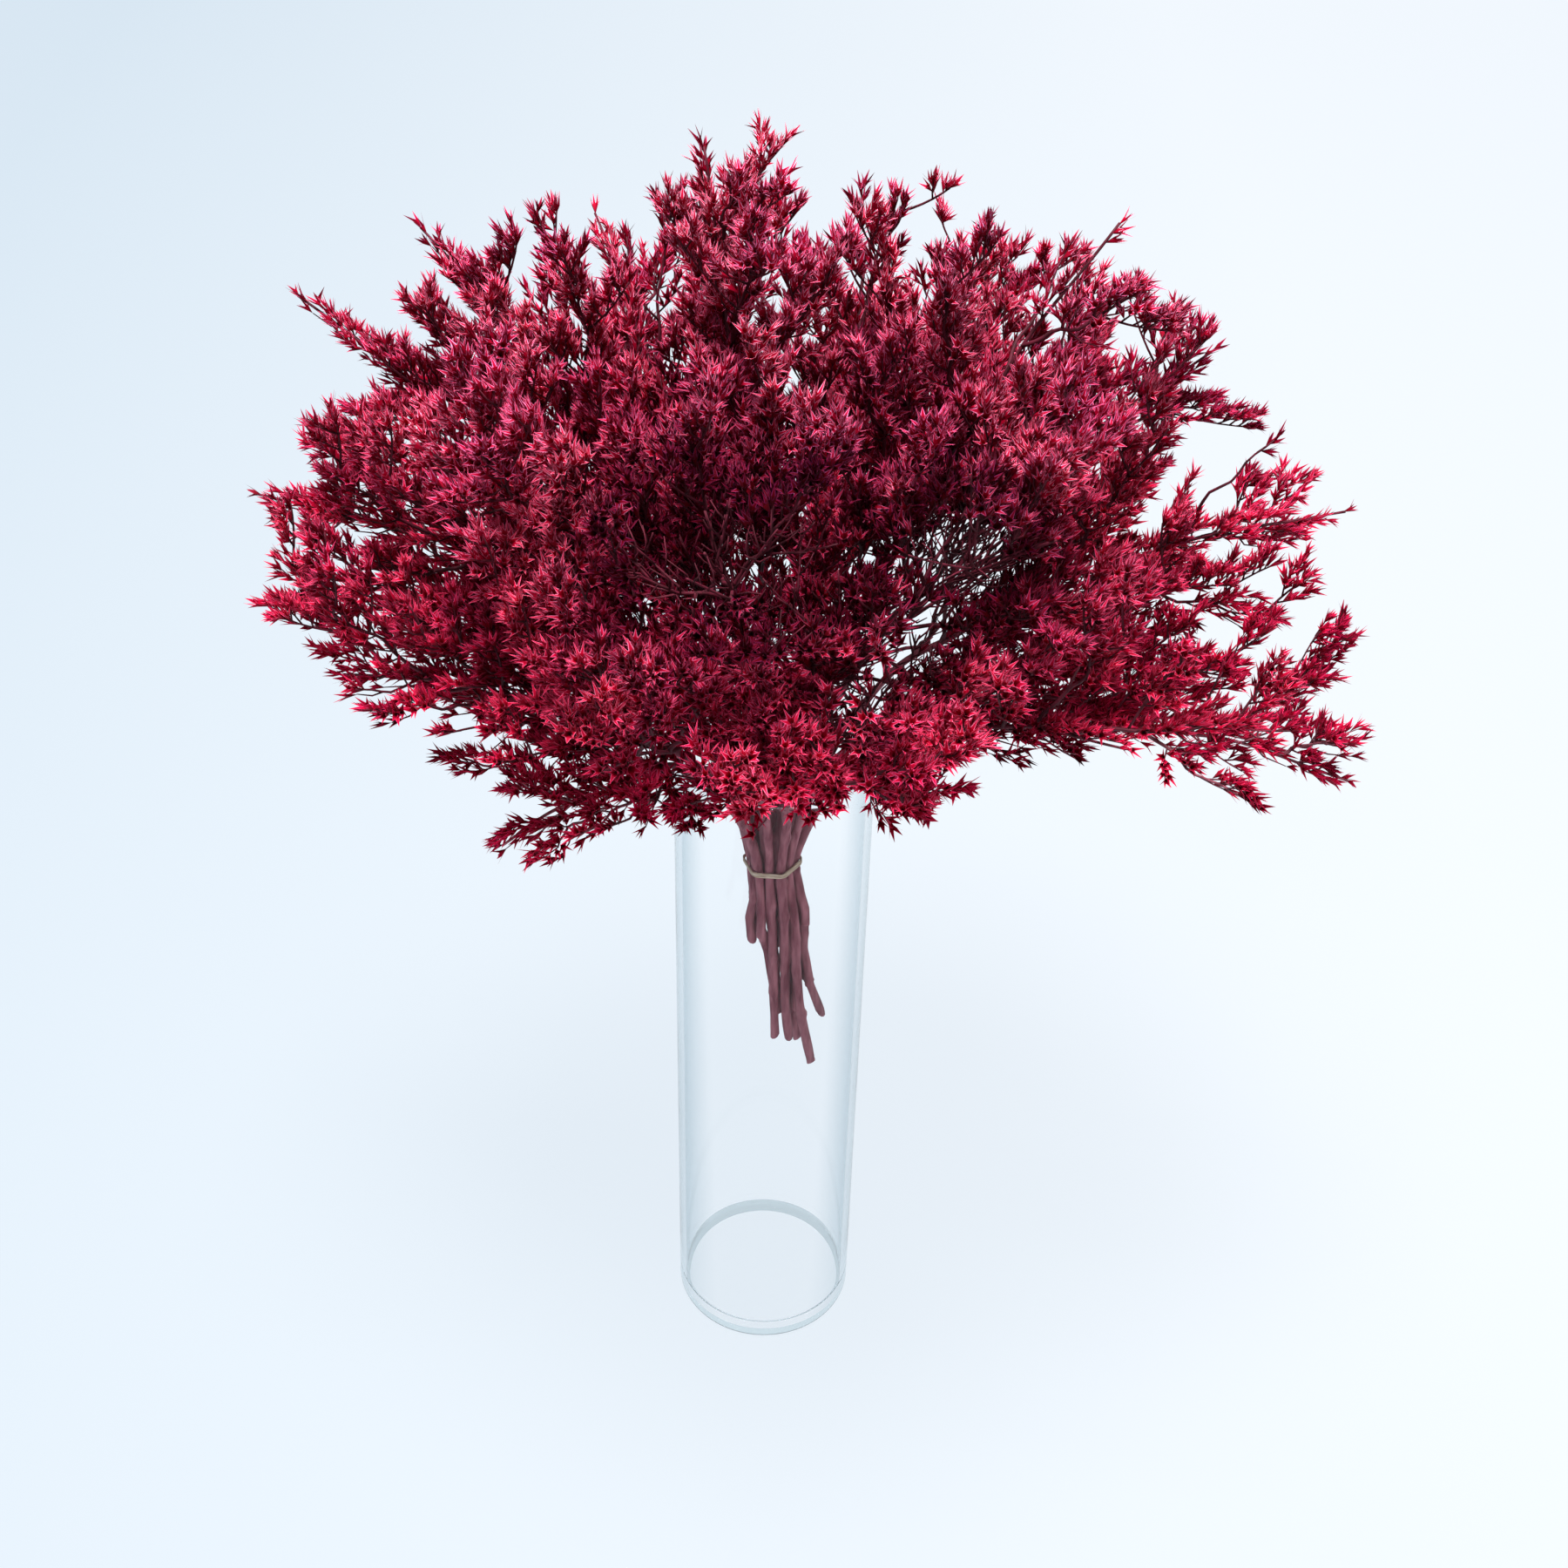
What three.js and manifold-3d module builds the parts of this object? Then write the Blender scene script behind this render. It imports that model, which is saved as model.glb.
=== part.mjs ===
// Dried statice in a tall glass cylinder vase.
//
// Nineteen dyed stems are packed in a hexagon and tied with a natural band. The cut ends hang
// free inside the glass. Above the tie the stems fan out past the rim, and each one carries a
// spray: side branches set with forward-pointing twigs, which bear the flowers.
//
// Millimetres, +Z up, +X to the right, +Y to the back. The origin is the centre of the foot.

import * as THREE from 'three';
import { mergeVertices } from 'three/addons/utils/BufferGeometryUtils.js';
import Module from 'manifold-3d';

const wasm = await Module();
wasm.setup();

// Glass cylinder.
const vaseHeight = 304.8;
const vaseRadius = 38.1;
const wallThickness = 2.8;
const floorThickness = 6.5;
const heelRadius = 3.5;
const innerCornerRadius = 4;
const vaseSides = 40;

// Bundle of stems. Above the tie they open out to the gates, the points where they pass the rim.
const tieHeight = 250;
const stemRadius = 1.9;
const stemPitch = 4.2;
const latticeTurn = THREE.MathUtils.degToRad(-8);
const spiralPerMillimetre = 0.0066;
const drift = new THREE.Vector2(12, 2);
const driftDepth = 106;
const neckHeight = 283;
const neckSpread = 1.75;
const gateHeight = vaseHeight + 1;
const gateRadii = [1.5, 12, 24];
const gateStemRadius = 1.75;
const restGap = 0.35;

// Band of raffia round the bundle.
const tieWidth = 1.8;
const tieThickness = 1.1;
const tieClearance = 0.55;
const tieTilt = THREE.MathUtils.degToRad(4);
const tieCornerSteps = 2;

// Stem above the gate, in shares of its length: the bare stem ends at stemShare, and the thinner
// leader that is rooted in it bears twigs from twigShare on.
const crownStiffness = 0.4;
const stemShare = 0.3;
const leaderRoot = 0.22;
const twigShare = 0.3;
const lastStemTwigs = 0.95;
const leaderRadius = 1.3;
const stemSides = 6;
const neckSteps = 2;

// Side branches, from the lowest to the highest on a stem.
const branchPlaces = [0.2, 0.88];
const branchLengths = [104, 52];
const branchAngles = [62, 44].map(THREE.MathUtils.degToRad);
const branchRise = 0.18;
const branchSettle = 0.75;
const branchRadius = 1.1;
const branchSides = 4;
const bareShare = 0.26;
const lastTwigs = 0.88;
const goldenAngle = Math.PI * (3 - Math.sqrt(5));

// Twigs, from the lowest to the highest on a stem or branch.
const twigSpacing = 11;
const twigLengths = [17, 10];
const twigAngles = [54, 36].map(THREE.MathUtils.degToRad);
const twigRootRadius = 1.5;
const shortestTwig = 2;
const twigShrink = 0.85;

// Room that the growing parts keep from each other.
const surveySpacing = 6;
const turnTries = 8;
const lengthTries = [1, 0.8, 0.62];
const branchDistance = 17;
const glassClearance = 6;
const headClearance = 6;
const twigClearance = 0.8;
const enoughRoom = 1.2;
const leastRoom = 0.5;

// Rounded head of the bunch, and the slope of its underside: at the sides, at the front, and at
// the sides of three sprays that reach lower.
const headCentre = new THREE.Vector3(11, 0, 335);
const headRadii = new THREE.Vector3(196, 182, 190);
const headFoot = 306;
const sideSlope = THREE.MathUtils.degToRad(15);
const frontSlope = THREE.MathUtils.degToRad(35);
const rightSlope = THREE.MathUtils.degToRad(7);
const leftSlope = THREE.MathUtils.degToRad(-4);
const lowFrontSlope = THREE.MathUtils.degToRad(7);

// Notches in the head, as balls in which no branch grows: centre and radius.
const headNotches = [
  [-150, -70, 308, 62],
  [80, -122, 352, 42],
  [196, -34, 378, 36],
  [186, 48, 436, 44],
  [150, 50, 480, 44],
  [75, 90, 492, 44],
  [20, 60, 530, 34],
  [-52, 80, 510, 40],
];

// One row for each stem: its place in the packed bundle (ring from the middle, step round the
// ring), the height of its cut end, its tip and how many side branches it has. Some ends splay
// out, some stems lie on the rim, and three sprays have an underside of their own.
const stems = [
  { ring: 0, step: 0, cut: 150, tip: [-27, 24, 528], branches: 10 },
  { ring: 1, step: 0, cut: 172, tip: [108, 18, 508], branches: 10 },
  { ring: 1, step: 1, cut: 180, tip: [36, 72, 492], branches: 9 },
  { ring: 1, step: 2, cut: 165, tip: [-128, 68, 478], branches: 10 },
  { ring: 1, step: 3, cut: 192, tip: [-112, -48, 456], branches: 10 },
  { ring: 1, step: 4, cut: 168, tip: [-22, -104, 456], branches: 12 },
  { ring: 1, step: 5, cut: 156, tip: [84, -86, 452], branches: 12 },
  { ring: 2, step: 0, cut: 218, tip: [207, -30, 318], branches: 9, splay: 4, onRim: true, slope: rightSlope },
  { ring: 2, step: 1, cut: 183, tip: [202, 24, 398], branches: 10, splay: 3 },
  { ring: 2, step: 2, cut: 160, tip: [158, 82, 430], branches: 10, splay: 1 },
  { ring: 2, step: 3, cut: 190, tip: [84, 146, 438], branches: 9, onRim: true },
  { ring: 2, step: 4, cut: 200, tip: [-74, 146, 450], branches: 9 },
  { ring: 2, step: 5, cut: 196, tip: [-176, 76, 447], branches: 10 },
  { ring: 2, step: 6, cut: 205, tip: [-186, 22, 396], branches: 10, splay: 2 },
  { ring: 2, step: 7, cut: 210, tip: [-152, -28, 354], branches: 10, splay: 5, onRim: true },
  { ring: 2, step: 8, cut: 186, tip: [-98, -46, 292], branches: 7, onRim: true, slope: leftSlope },
  { ring: 2, step: 9, cut: 158, tip: [-52, -128, 392], branches: 10 },
  { ring: 2, step: 10, cut: 176, tip: [20, -140, 390], branches: 12, slope: lowFrontSlope },
  { ring: 2, step: 11, cut: 146, tip: [112, -95, 380], branches: 11, splay: 4 },
];

const glass = new THREE.MeshStandardMaterial({
  name: 'glass', color: 0xdfeaec, roughness: 0.05, metalness: 0, transparent: true, opacity: 0.35,
});
const statice = new THREE.MeshStandardMaterial({
  name: 'dyed_statice', color: 0x960f2d, roughness: 0.8, metalness: 0,
});
const raffia = new THREE.MeshStandardMaterial({
  name: 'raffia', color: 0xc2ad93, roughness: 0.85, metalness: 0,
});

// Repeatable draw from 0 to 1 for the whole number k.
function draw(k) {
  const wave = Math.sin(k * 12.9898) * 43758.5453;
  return wave - Math.floor(wave);
}

// Value at a share of the way between the two ends of a range.
function between([low, high], share) {
  return low + (high - low) * share;
}

// Unit direction of a quadratic curve at t.
function directionOn(curve, t) {
  const first = curve.v1.clone().sub(curve.v0);
  const last = curve.v2.clone().sub(curve.v1);
  return first.lerp(last, t).normalize();
}

// Sum of two directions, each with its own share.
function blend(a, shareOfA, b, shareOfB) {
  return a.clone().multiplyScalar(shareOfA).addScaledVector(b, shareOfB);
}

// Two unit vectors square to a direction, the first one as close to the guide as can be.
function crossAxes(direction, guide) {
  const across = guide.clone().addScaledVector(direction, -guide.dot(direction)).normalize();
  const up = new THREE.Vector3().crossVectors(direction, across);
  return [across, up];
}

// Place of a stem in the packed bundle at the tie, and its direction from the middle.
function packedPlace(ring, step) {
  if (ring === 0) {
    return { place: new THREE.Vector3(), outward: new THREE.Vector3() };
  }
  const angle = latticeTurn + step * Math.PI / (3 * ring);
  const onEdge = ring === 2 && step % 2 === 1;
  const radius = onEdge ? Math.sqrt(3) * stemPitch : ring * stemPitch;
  const outward = new THREE.Vector3(Math.cos(angle), Math.sin(angle), 0);
  return { place: outward.clone().multiplyScalar(radius), outward };
}

// Gate of a stem that lies on the rim: just clear of the round of the rim, square to the way in.
function rimGate(neck, outward, side) {
  const rimRadius = wallThickness / 2;
  const rim = outward.clone().multiplyScalar(vaseRadius - rimRadius).setZ(vaseHeight - rimRadius);
  const above = new THREE.Vector3().crossVectors(rim.clone().sub(neck), side);
  return above.setLength(rimRadius + restGap + gateStemRadius).add(rim);
}

// Route of a stem: straight from its cut end to the tie, a curve to the gate and a curve on to
// its tip. Below the tie the straight stems lean round the bundle, so they open out again and
// never meet.
function stemRoute({ ring, step, cut, splay = 0, onRim = false, tip }) {
  const { place, outward } = packedPlace(ring, step);
  const depth = tieHeight - cut;
  const lean = -spiralPerMillimetre * depth;
  const end = new THREE.Vector3(
    place.x - lean * place.y + splay * outward.x + drift.x * depth / driftDepth,
    place.y + lean * place.x + splay * outward.y + drift.y * depth / driftDepth,
    cut,
  );
  const knot = place.clone().setZ(tieHeight);
  const neck = place.clone().multiplyScalar(neckSpread).setZ(neckHeight);
  const top = new THREE.Vector3(...tip);
  const heading = top.clone().setZ(0).normalize().add(outward).normalize();
  const side = new THREE.Vector3(-heading.y, heading.x, 0);
  const gate = onRim
    ? rimGate(neck, heading, side)
    : heading.clone().multiplyScalar(gateRadii[ring]).setZ(gateHeight);
  const bend = gate.clone().sub(neck).setLength(top.distanceTo(gate) * crownStiffness).add(gate);
  return {
    end,
    side,
    lower: new THREE.QuadraticBezierCurve3(knot, neck, gate),
    upper: new THREE.QuadraticBezierCurve3(gate, bend, top),
  };
}

const routes = stems.map(stemRoute);

// A rod is a stem above its gate or a side branch: a curve with survey points on it.
function makeRod(own, curve, guide) {
  const chord = curve.v0.distanceTo(curve.v2);
  const points = curve.getPoints(Math.ceil(chord / surveySpacing)).slice(1);
  return { own, curve, guide, points };
}

// How far a point lies inside the head of the bunch. Its underside rises outwards from the rim,
// more steeply at the front, and a notch is outside it.
function headRoom(point, own) {
  const { slope = sideSlope } = stems[own];
  const offset = point.clone().sub(headCentre).divide(headRadii);
  const inside = headRadii.z * (1 - offset.length());
  const radius = Math.hypot(point.x, point.y);
  const front = Math.max(-point.y / radius, 0) ** 2;
  const underside = headFoot + radius * Math.tan(slope + (frontSlope - sideSlope) * front);
  let room = Math.min(inside, point.z - underside);
  for (const [x, y, z, reach] of headNotches) {
    room = Math.min(room, Math.hypot(point.x - x, point.y - y, point.z - z) - reach);
  }
  return room;
}

// How far a point lies from the glass, taken as a full cylinder.
function glassGap(point) {
  const side = Math.max(Math.hypot(point.x, point.y) - vaseRadius, 0);
  const above = Math.max(point.z - vaseHeight, 0);
  return Math.hypot(side, above);
}

// Side branch number `index` of a stem, tried at one turn round the stem and one length. It
// leaves the stem at a wide angle and settles closer to the way the stem goes.
function branchRod(own, index, turn, lengthShare) {
  const { upper, side } = routes[own];
  const share = index / (stems[own].branches - 1);
  const key = own * 2000 + index * 100;
  const at = between(branchPlaces, share + 0.05 * (draw(key) - 0.5));
  const root = upper.getPoint(at);
  const ahead = directionOn(upper, at);
  const [across, up] = crossAxes(ahead, side);
  const around = index * goldenAngle + own + turn;
  const away = blend(across, Math.cos(around), up, Math.sin(around));
  const angle = between(branchAngles, share);
  const length = between(branchLengths, share) * between([0.85, 1.15], draw(key + 1)) * lengthShare;
  const start = blend(ahead, Math.cos(angle), away, Math.sin(angle));
  const settled = angle * branchSettle;
  const finish = blend(ahead, Math.cos(settled), away, Math.sin(settled));
  start.z += branchRise;
  finish.z += branchRise;
  const middle = root.clone().add(start.setLength(length / 2));
  const end = middle.clone().add(finish.setLength(length / 2));
  const guide = new THREE.Vector3().crossVectors(start, finish).normalize();
  const curve = new THREE.QuadraticBezierCurve3(root, middle, end);
  return { ...makeRod(own, curve, guide), length, key };
}

// Room round the outer part of a branch, 1 or more where nothing stands in its way.
function branchRoom(branch, rods) {
  const outer = branch.points.slice(Math.floor(branch.points.length * bareShare));
  const others = rods.filter((rod, index) => index !== branch.own);
  let room = Infinity;
  for (const point of outer) {
    room = Math.min(room, glassGap(point) / glassClearance);
    room = Math.min(room, 1 + headRoom(point, branch.own) / headClearance);
    for (const rod of others) {
      for (const mate of rod.points) {
        room = Math.min(room, point.distanceTo(mate) / branchDistance);
      }
    }
  }
  return room;
}

// The try with the most room for side branch number `index` of a stem, if there is enough.
function bestBranch(own, index, rods) {
  let best = null;
  let bestScore = leastRoom;
  for (let attempt = 0; attempt < turnTries; attempt += 1) {
    const turn = attempt * 2 * Math.PI / turnTries;
    for (const lengthShare of lengthTries) {
      const branch = branchRod(own, index, turn, lengthShare);
      const score = Math.min(branchRoom(branch, rods), enoughRoom) * lengthShare;
      if (score > bestScore) {
        best = branch;
        bestScore = score;
      }
    }
  }
  return best;
}

// Every stem and side branch of the head: the stems come first. The sprays grow in step, with
// their lowest branches first.
function growRods() {
  const rods = routes.map(({ upper, side }, own) => makeRod(own, upper, side));
  const most = Math.max(...stems.map((stem) => stem.branches));
  for (let index = 0; index < most; index += 1) {
    stems.forEach((stem, own) => {
      const branch = index < stem.branches ? bestBranch(own, index, rods) : null;
      if (branch) {
        rods.push(branch);
      }
    });
  }
  return rods;
}

const rods = growRods();

// How far a point lies inside the space of its own rod. Space belongs to the rod with the
// nearest survey point, and the glass keeps its own.
function clearance(point, home) {
  const nearestOn = (rod) => rod.points.reduce((best, candidate) => (
    candidate.distanceToSquared(point) < best.distanceToSquared(point) ? candidate : best
  ));
  const nearest = nearestOn(home);
  const reach = point.distanceToSquared(nearest);
  let least = glassGap(point);
  for (const rod of rods) {
    if (rod !== home) {
      const other = nearestOn(rod);
      const lead = point.distanceToSquared(other) - reach;
      least = Math.min(least, lead / (2 * other.distanceTo(nearest)));
    }
  }
  return least;
}

// Tip of a twig that leaves a rod at a point, shortened until it is clear. Twigs are shorter
// and lie closer to the rod towards its tip.
function twigTip(rod, point, ahead, away, share, key) {
  const angle = between(twigAngles, share) * between([0.85, 1.15], draw(key));
  const direction = blend(ahead, Math.cos(angle), away, Math.sin(angle));
  let length = between(twigLengths, share) * between([0.85, 1.15], draw(key + 1));
  let tip = point.clone().addScaledVector(direction, length);
  while (length > shortestTwig && clearance(tip, rod) < twigClearance) {
    length *= twigShrink;
    tip = point.clone().addScaledVector(direction, length);
  }
  return tip;
}

// Directions from the middle of a ring to its corners.
function cornerDirections(ahead, guide, sides) {
  const [across, up] = crossAxes(ahead, guide);
  const directions = [];
  for (let i = 0; i < sides; i += 1) {
    const angle = i * 2 * Math.PI / sides;
    directions.push(blend(across, Math.cos(angle), up, Math.sin(angle)));
  }
  return directions;
}

// Plain ring of corners round a point.
function plainRing(point, ahead, guide, sides, radius) {
  return cornerDirections(ahead, guide, sides)
    .map((away) => point.clone().addScaledVector(away, radius));
}

// Rings of a rod with twigs: two plain rings, at its root and below its first twigs, and then
// rings whose every other corner is drawn out to a twig tip, in turn from ring to ring.
function twigRings(rod, root, first, last, rows, radius, key) {
  const { curve, guide } = rod;
  const rings = [root, first].map((t) => (
    plainRing(curve.getPoint(t), directionOn(curve, t), guide, branchSides, radius)
  ));
  for (let row = 1; row < rows; row += 1) {
    const share = row / (rows - 1);
    const t = between([first, last], share);
    const point = curve.getPoint(t);
    const ahead = directionOn(curve, t);
    const directions = cornerDirections(ahead, guide, branchSides);
    rings.push(directions.map((away, i) => (
      (row + i) % 2 === 0
        ? twigTip(rod, point, ahead, away, share, key + row * 8 + 2 * i)
        : point.clone().addScaledVector(away, twigRootRadius)
    )));
  }
  return rings;
}

// Closed rod through rings of corners, with a flat root and a pointed end. The four faces round
// each twig tip meet in it, so the diagonals change sides like the squares of a chequerboard.
function rodGeometry(rings, apex) {
  const sides = rings[0].length;
  const corners = [...rings.flat(), apex];
  const triangles = [];
  for (let i = 1; i < sides - 1; i += 1) {
    triangles.push(0, i + 1, i);
  }
  for (let row = 0; row < rings.length - 1; row += 1) {
    for (let i = 0; i < sides; i += 1) {
      const a = row * sides + i;
      const b = row * sides + (i + 1) % sides;
      const c = a + sides;
      const d = b + sides;
      const rising = (row + i) % 2 === 0;
      triangles.push(...(rising ? [a, b, d, a, d, c] : [a, b, c, b, d, c]));
    }
  }
  const last = (rings.length - 1) * sides;
  for (let i = 0; i < sides; i += 1) {
    triangles.push(last + i, last + (i + 1) % sides, corners.length - 1);
  }
  return new THREE.BufferGeometry().setFromPoints(corners).setIndex(triangles);
}

// Bare stem, from its cut end to just above its lowest side branch.
function stemGeometry({ end, side, lower, upper }) {
  const straight = lower.v0.clone().sub(end).normalize();
  const upright = new THREE.Vector3(0, 0, 1);
  const rings = [
    plainRing(end, straight, side, stemSides, stemRadius),
    plainRing(lower.v0, upright, side, stemSides, stemRadius),
  ];
  for (let i = 1; i <= neckSteps; i += 1) {
    const t = i / neckSteps;
    const radius = between([stemRadius, gateStemRadius], t);
    rings.push(plainRing(lower.getPoint(t), directionOn(lower, t), side, stemSides, radius));
  }
  const t = stemShare / 2;
  rings.push(plainRing(upper.getPoint(t), directionOn(upper, t), side, stemSides, gateStemRadius));
  return rodGeometry(rings, upper.getPoint(stemShare));
}

// Upper stem with its twigs, rooted in the bare stem.
function leaderGeometry(rod) {
  const length = rod.curve.v0.distanceTo(rod.curve.v2);
  const rows = Math.round(length * (lastStemTwigs - twigShare) / twigSpacing) + 1;
  const key = rod.own * 2000 + 1500;
  const rings = twigRings(rod, leaderRoot, twigShare, lastStemTwigs, rows, leaderRadius, key);
  return rodGeometry(rings, rod.curve.v2);
}

// Side branch with its twigs, rooted on the axis of the stem.
function branchGeometry(rod) {
  const rows = Math.max(3, Math.round(rod.length * (lastTwigs - bareShare) / twigSpacing) + 1);
  const rings = twigRings(rod, 0, bareShare, lastTwigs, rows, branchRadius, rod.key + 2);
  return rodGeometry(rings, rod.curve.v2);
}

// Solid from a closed geometry, with its shared corners merged and empty faces dropped.
function solidFrom(geometry) {
  geometry.deleteAttribute('normal');
  geometry.deleteAttribute('uv');
  const merged = mergeVertices(geometry, 1e-4);
  const index = merged.index.array;
  const triangles = [];
  for (let i = 0; i < index.length; i += 3) {
    const [a, b, c] = index.slice(i, i + 3);
    if (a !== b && b !== c && c !== a) {
      triangles.push(a, b, c);
    }
  }
  return new wasm.Manifold(new wasm.Mesh({
    numProp: 3,
    vertProperties: new Float32Array(merged.attributes.position.array),
    triVerts: new Uint32Array(triangles),
  }));
}

// Stem and side branches of one spray, joined in one body.
function spraySolid(route, own) {
  const branches = rods.slice(stems.length).filter((rod) => rod.own === own);
  const parts = [
    stemGeometry(route),
    leaderGeometry(rods[own]),
    ...branches.map(branchGeometry),
  ];
  return wasm.Manifold.union(parts.map(solidFrom)).simplify(0.02);
}

// Named mesh with the surface of a solid.
function meshFrom(solid, name, material) {
  const { vertProperties, triVerts } = solid.getMesh();
  const geometry = new THREE.BufferGeometry();
  geometry.setAttribute('position', new THREE.BufferAttribute(vertProperties, 3));
  geometry.setIndex(new THREE.BufferAttribute(triVerts, 1));
  geometry.computeVertexNormals();
  const mesh = new THREE.Mesh(geometry, material);
  mesh.name = name;
  return mesh;
}

// Straight-walled cylinder with a thick floor, a rounded heel and a rounded rim.
function vaseGeometry() {
  const innerRadius = vaseRadius - wallThickness;
  const rimRadius = wallThickness / 2;
  const profile = new THREE.Path();
  profile.moveTo(0, 0);
  profile.lineTo(vaseRadius - heelRadius, 0);
  profile.absarc(vaseRadius - heelRadius, heelRadius, heelRadius, -Math.PI / 2, 0);
  profile.lineTo(vaseRadius, vaseHeight - rimRadius);
  profile.absarc(vaseRadius - rimRadius, vaseHeight - rimRadius, rimRadius, 0, Math.PI);
  profile.lineTo(innerRadius, floorThickness + innerCornerRadius);
  profile.absarc(
    innerRadius - innerCornerRadius,
    floorThickness + innerCornerRadius,
    innerCornerRadius,
    0,
    -Math.PI / 2,
    true,
  );
  profile.lineTo(0, floorThickness);
  return new THREE.LatheGeometry(profile.getPoints(1), vaseSides).rotateX(Math.PI / 2);
}

// Six-cornered outline that hugs the packed bundle at a distance from its stems.
function bundleOutline(outline, distance) {
  const radius = stemRadius + distance;
  for (let corner = 0; corner < 6; corner += 1) {
    const angle = latticeTurn + corner * Math.PI / 3;
    outline.absarc(
      2 * stemPitch * Math.cos(angle),
      2 * stemPitch * Math.sin(angle),
      radius,
      angle - Math.PI / 6,
      angle + Math.PI / 6,
    );
  }
  outline.closePath();
  return outline;
}

// Flat band round the bundle.
function tieGeometry() {
  const outline = bundleOutline(new THREE.Shape(), tieClearance + tieThickness);
  outline.holes.push(bundleOutline(new THREE.Path(), tieClearance));
  const band = new THREE.ExtrudeGeometry(outline, {
    depth: tieWidth,
    bevelEnabled: false,
    curveSegments: tieCornerSteps,
  });
  return band.translate(0, 0, -tieWidth / 2);
}

const staticeInVase = new THREE.Group();
staticeInVase.name = 'dried_statice_in_glass_vase';
staticeInVase.add(meshFrom(solidFrom(vaseGeometry()), 'vase', glass));

const tie = meshFrom(solidFrom(tieGeometry()), 'tie', raffia);
tie.position.z = tieHeight;
tie.rotation.y = -tieTilt;
staticeInVase.add(tie);

routes.forEach((route, own) => {
  const name = `spray_${String(own + 1).padStart(2, '0')}`;
  staticeInVase.add(meshFrom(spraySolid(route, own), name, statice));
});

export default staticeInVase;
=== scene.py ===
"""Dried statice in a tall glass cylinder vase.

Lengths are worked out in millimetres and put into the meshes in metres. The sections follow the
object as it is put together: vase, stems, twigs, sprays, band, and then the place it stands in.
"""

from collections import namedtuple

import bpy
import numpy as np
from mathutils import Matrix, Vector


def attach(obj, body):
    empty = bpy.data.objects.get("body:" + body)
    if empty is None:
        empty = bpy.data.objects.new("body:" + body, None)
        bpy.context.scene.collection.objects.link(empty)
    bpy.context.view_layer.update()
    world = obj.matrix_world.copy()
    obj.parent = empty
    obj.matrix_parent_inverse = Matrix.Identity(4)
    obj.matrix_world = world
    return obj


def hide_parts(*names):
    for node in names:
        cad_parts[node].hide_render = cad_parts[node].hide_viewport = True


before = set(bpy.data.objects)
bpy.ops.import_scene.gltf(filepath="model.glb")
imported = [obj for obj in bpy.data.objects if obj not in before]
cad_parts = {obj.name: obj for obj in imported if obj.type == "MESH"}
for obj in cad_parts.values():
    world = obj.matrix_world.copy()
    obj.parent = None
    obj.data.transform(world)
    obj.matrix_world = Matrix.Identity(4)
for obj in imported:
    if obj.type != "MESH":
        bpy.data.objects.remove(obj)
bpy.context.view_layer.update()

# ----------------------------------------------------------------------
# Vase. A straight cylinder of clear soda-lime glass, blown in a mould, with a thick foot, a
# rounded heel and a fire-polished rim. It stands free and carries all the rest.

VASE_HEIGHT = 304.8
VASE_RADIUS = 38.1
WALL = 2.8
FLOOR = 6.5
HEEL_RADIUS = 3.5
INNER_CORNER = 4.0
VASE_SEGMENTS = 160
ARC_STEPS = 10
ARC_MARGIN = 0.4
FOOT_TOP = 7.0
CLEAR = (0.995, 0.999, 1.0, 1)
EDGE_SHADE = (0.3, 0.46, 0.53, 1)
FOOT_TINT = (0.76, 0.89, 0.92, 1)
GLASS_IOR = 1.2
EDGE_SHADE_START = 0.48
MILLIMETRE = 0.001


def arc(centre, radius, first, last):
    """Points of a circular arc: centre plus radius times cosine and sine of evenly spread angles."""
    angle = np.radians(np.linspace(first, last, ARC_STEPS + 1))
    return np.array(centre) + radius * np.stack([np.cos(angle), np.sin(angle)], -1)


def angles_round(count):
    """Angles of a full turn in so many even steps."""
    return np.arange(count) * 2 * np.pi / count


def ring_faces(corner):
    """Two triangles for each step along and round a wall, from the corner numbers of its rings."""
    a, b = corner[:-1], np.roll(corner[:-1], -1, 1)
    c, d = corner[1:], np.roll(corner[1:], -1, 1)
    return np.stack([np.stack([a, b, d], -1), np.stack([a, d, c], -1)]).reshape(-1, 3)


def closed_faces(rings, sides):
    """Triangles of a wall of rings, with a fan to a pole at either end.

    Corners are numbered ring by ring, and the numbers of the two poles come last.
    """
    corner = np.arange(rings * sides).reshape(rings, sides)
    start, end = np.full(sides, rings * sides), np.full(sides, rings * sides + 1)
    low = np.stack([start, np.roll(corner[0], -1), corner[0]], -1)
    high = np.stack([end, corner[-1], np.roll(corner[-1], -1)], -1)
    return np.vstack([ring_faces(corner), low, high])


def turned(profile, segments):
    """Surface of revolution: each point (r, z) of the profile goes round the axis in even steps.

    The profile starts and ends on the axis, where all its corners fall together in one pole.
    """
    angle = angles_round(segments)
    r, z = profile[1:-1].T
    ring = np.stack([np.outer(r, np.cos(angle)), np.outer(r, np.sin(angle))], -1)
    height = np.broadcast_to(z[:, None, None], ring.shape[:2] + (1,))
    walls = np.concatenate([ring, height], -1).reshape(-1, 3)
    poles = np.array([[0, 0, profile[0, 1]], [0, 0, profile[-1, 1]]])
    return np.vstack([walls, poles]), closed_faces(len(r), segments)


def new_piece(name, points, triangles, slot, nodes, *materials):
    """Smooth mesh object made of points, in millimetres, and of its triangles' corner numbers."""
    mesh = bpy.data.meshes.new(name)
    mesh.from_pydata(points * MILLIMETRE, [], triangles, shade_flat=False)
    mesh.validate()
    for material in materials:
        mesh.materials.append(material)
    piece = bpy.data.objects.new(name, mesh)
    bpy.context.scene.collection.objects.link(piece)
    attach(piece, "root")
    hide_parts(*nodes)
    return piece


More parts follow.
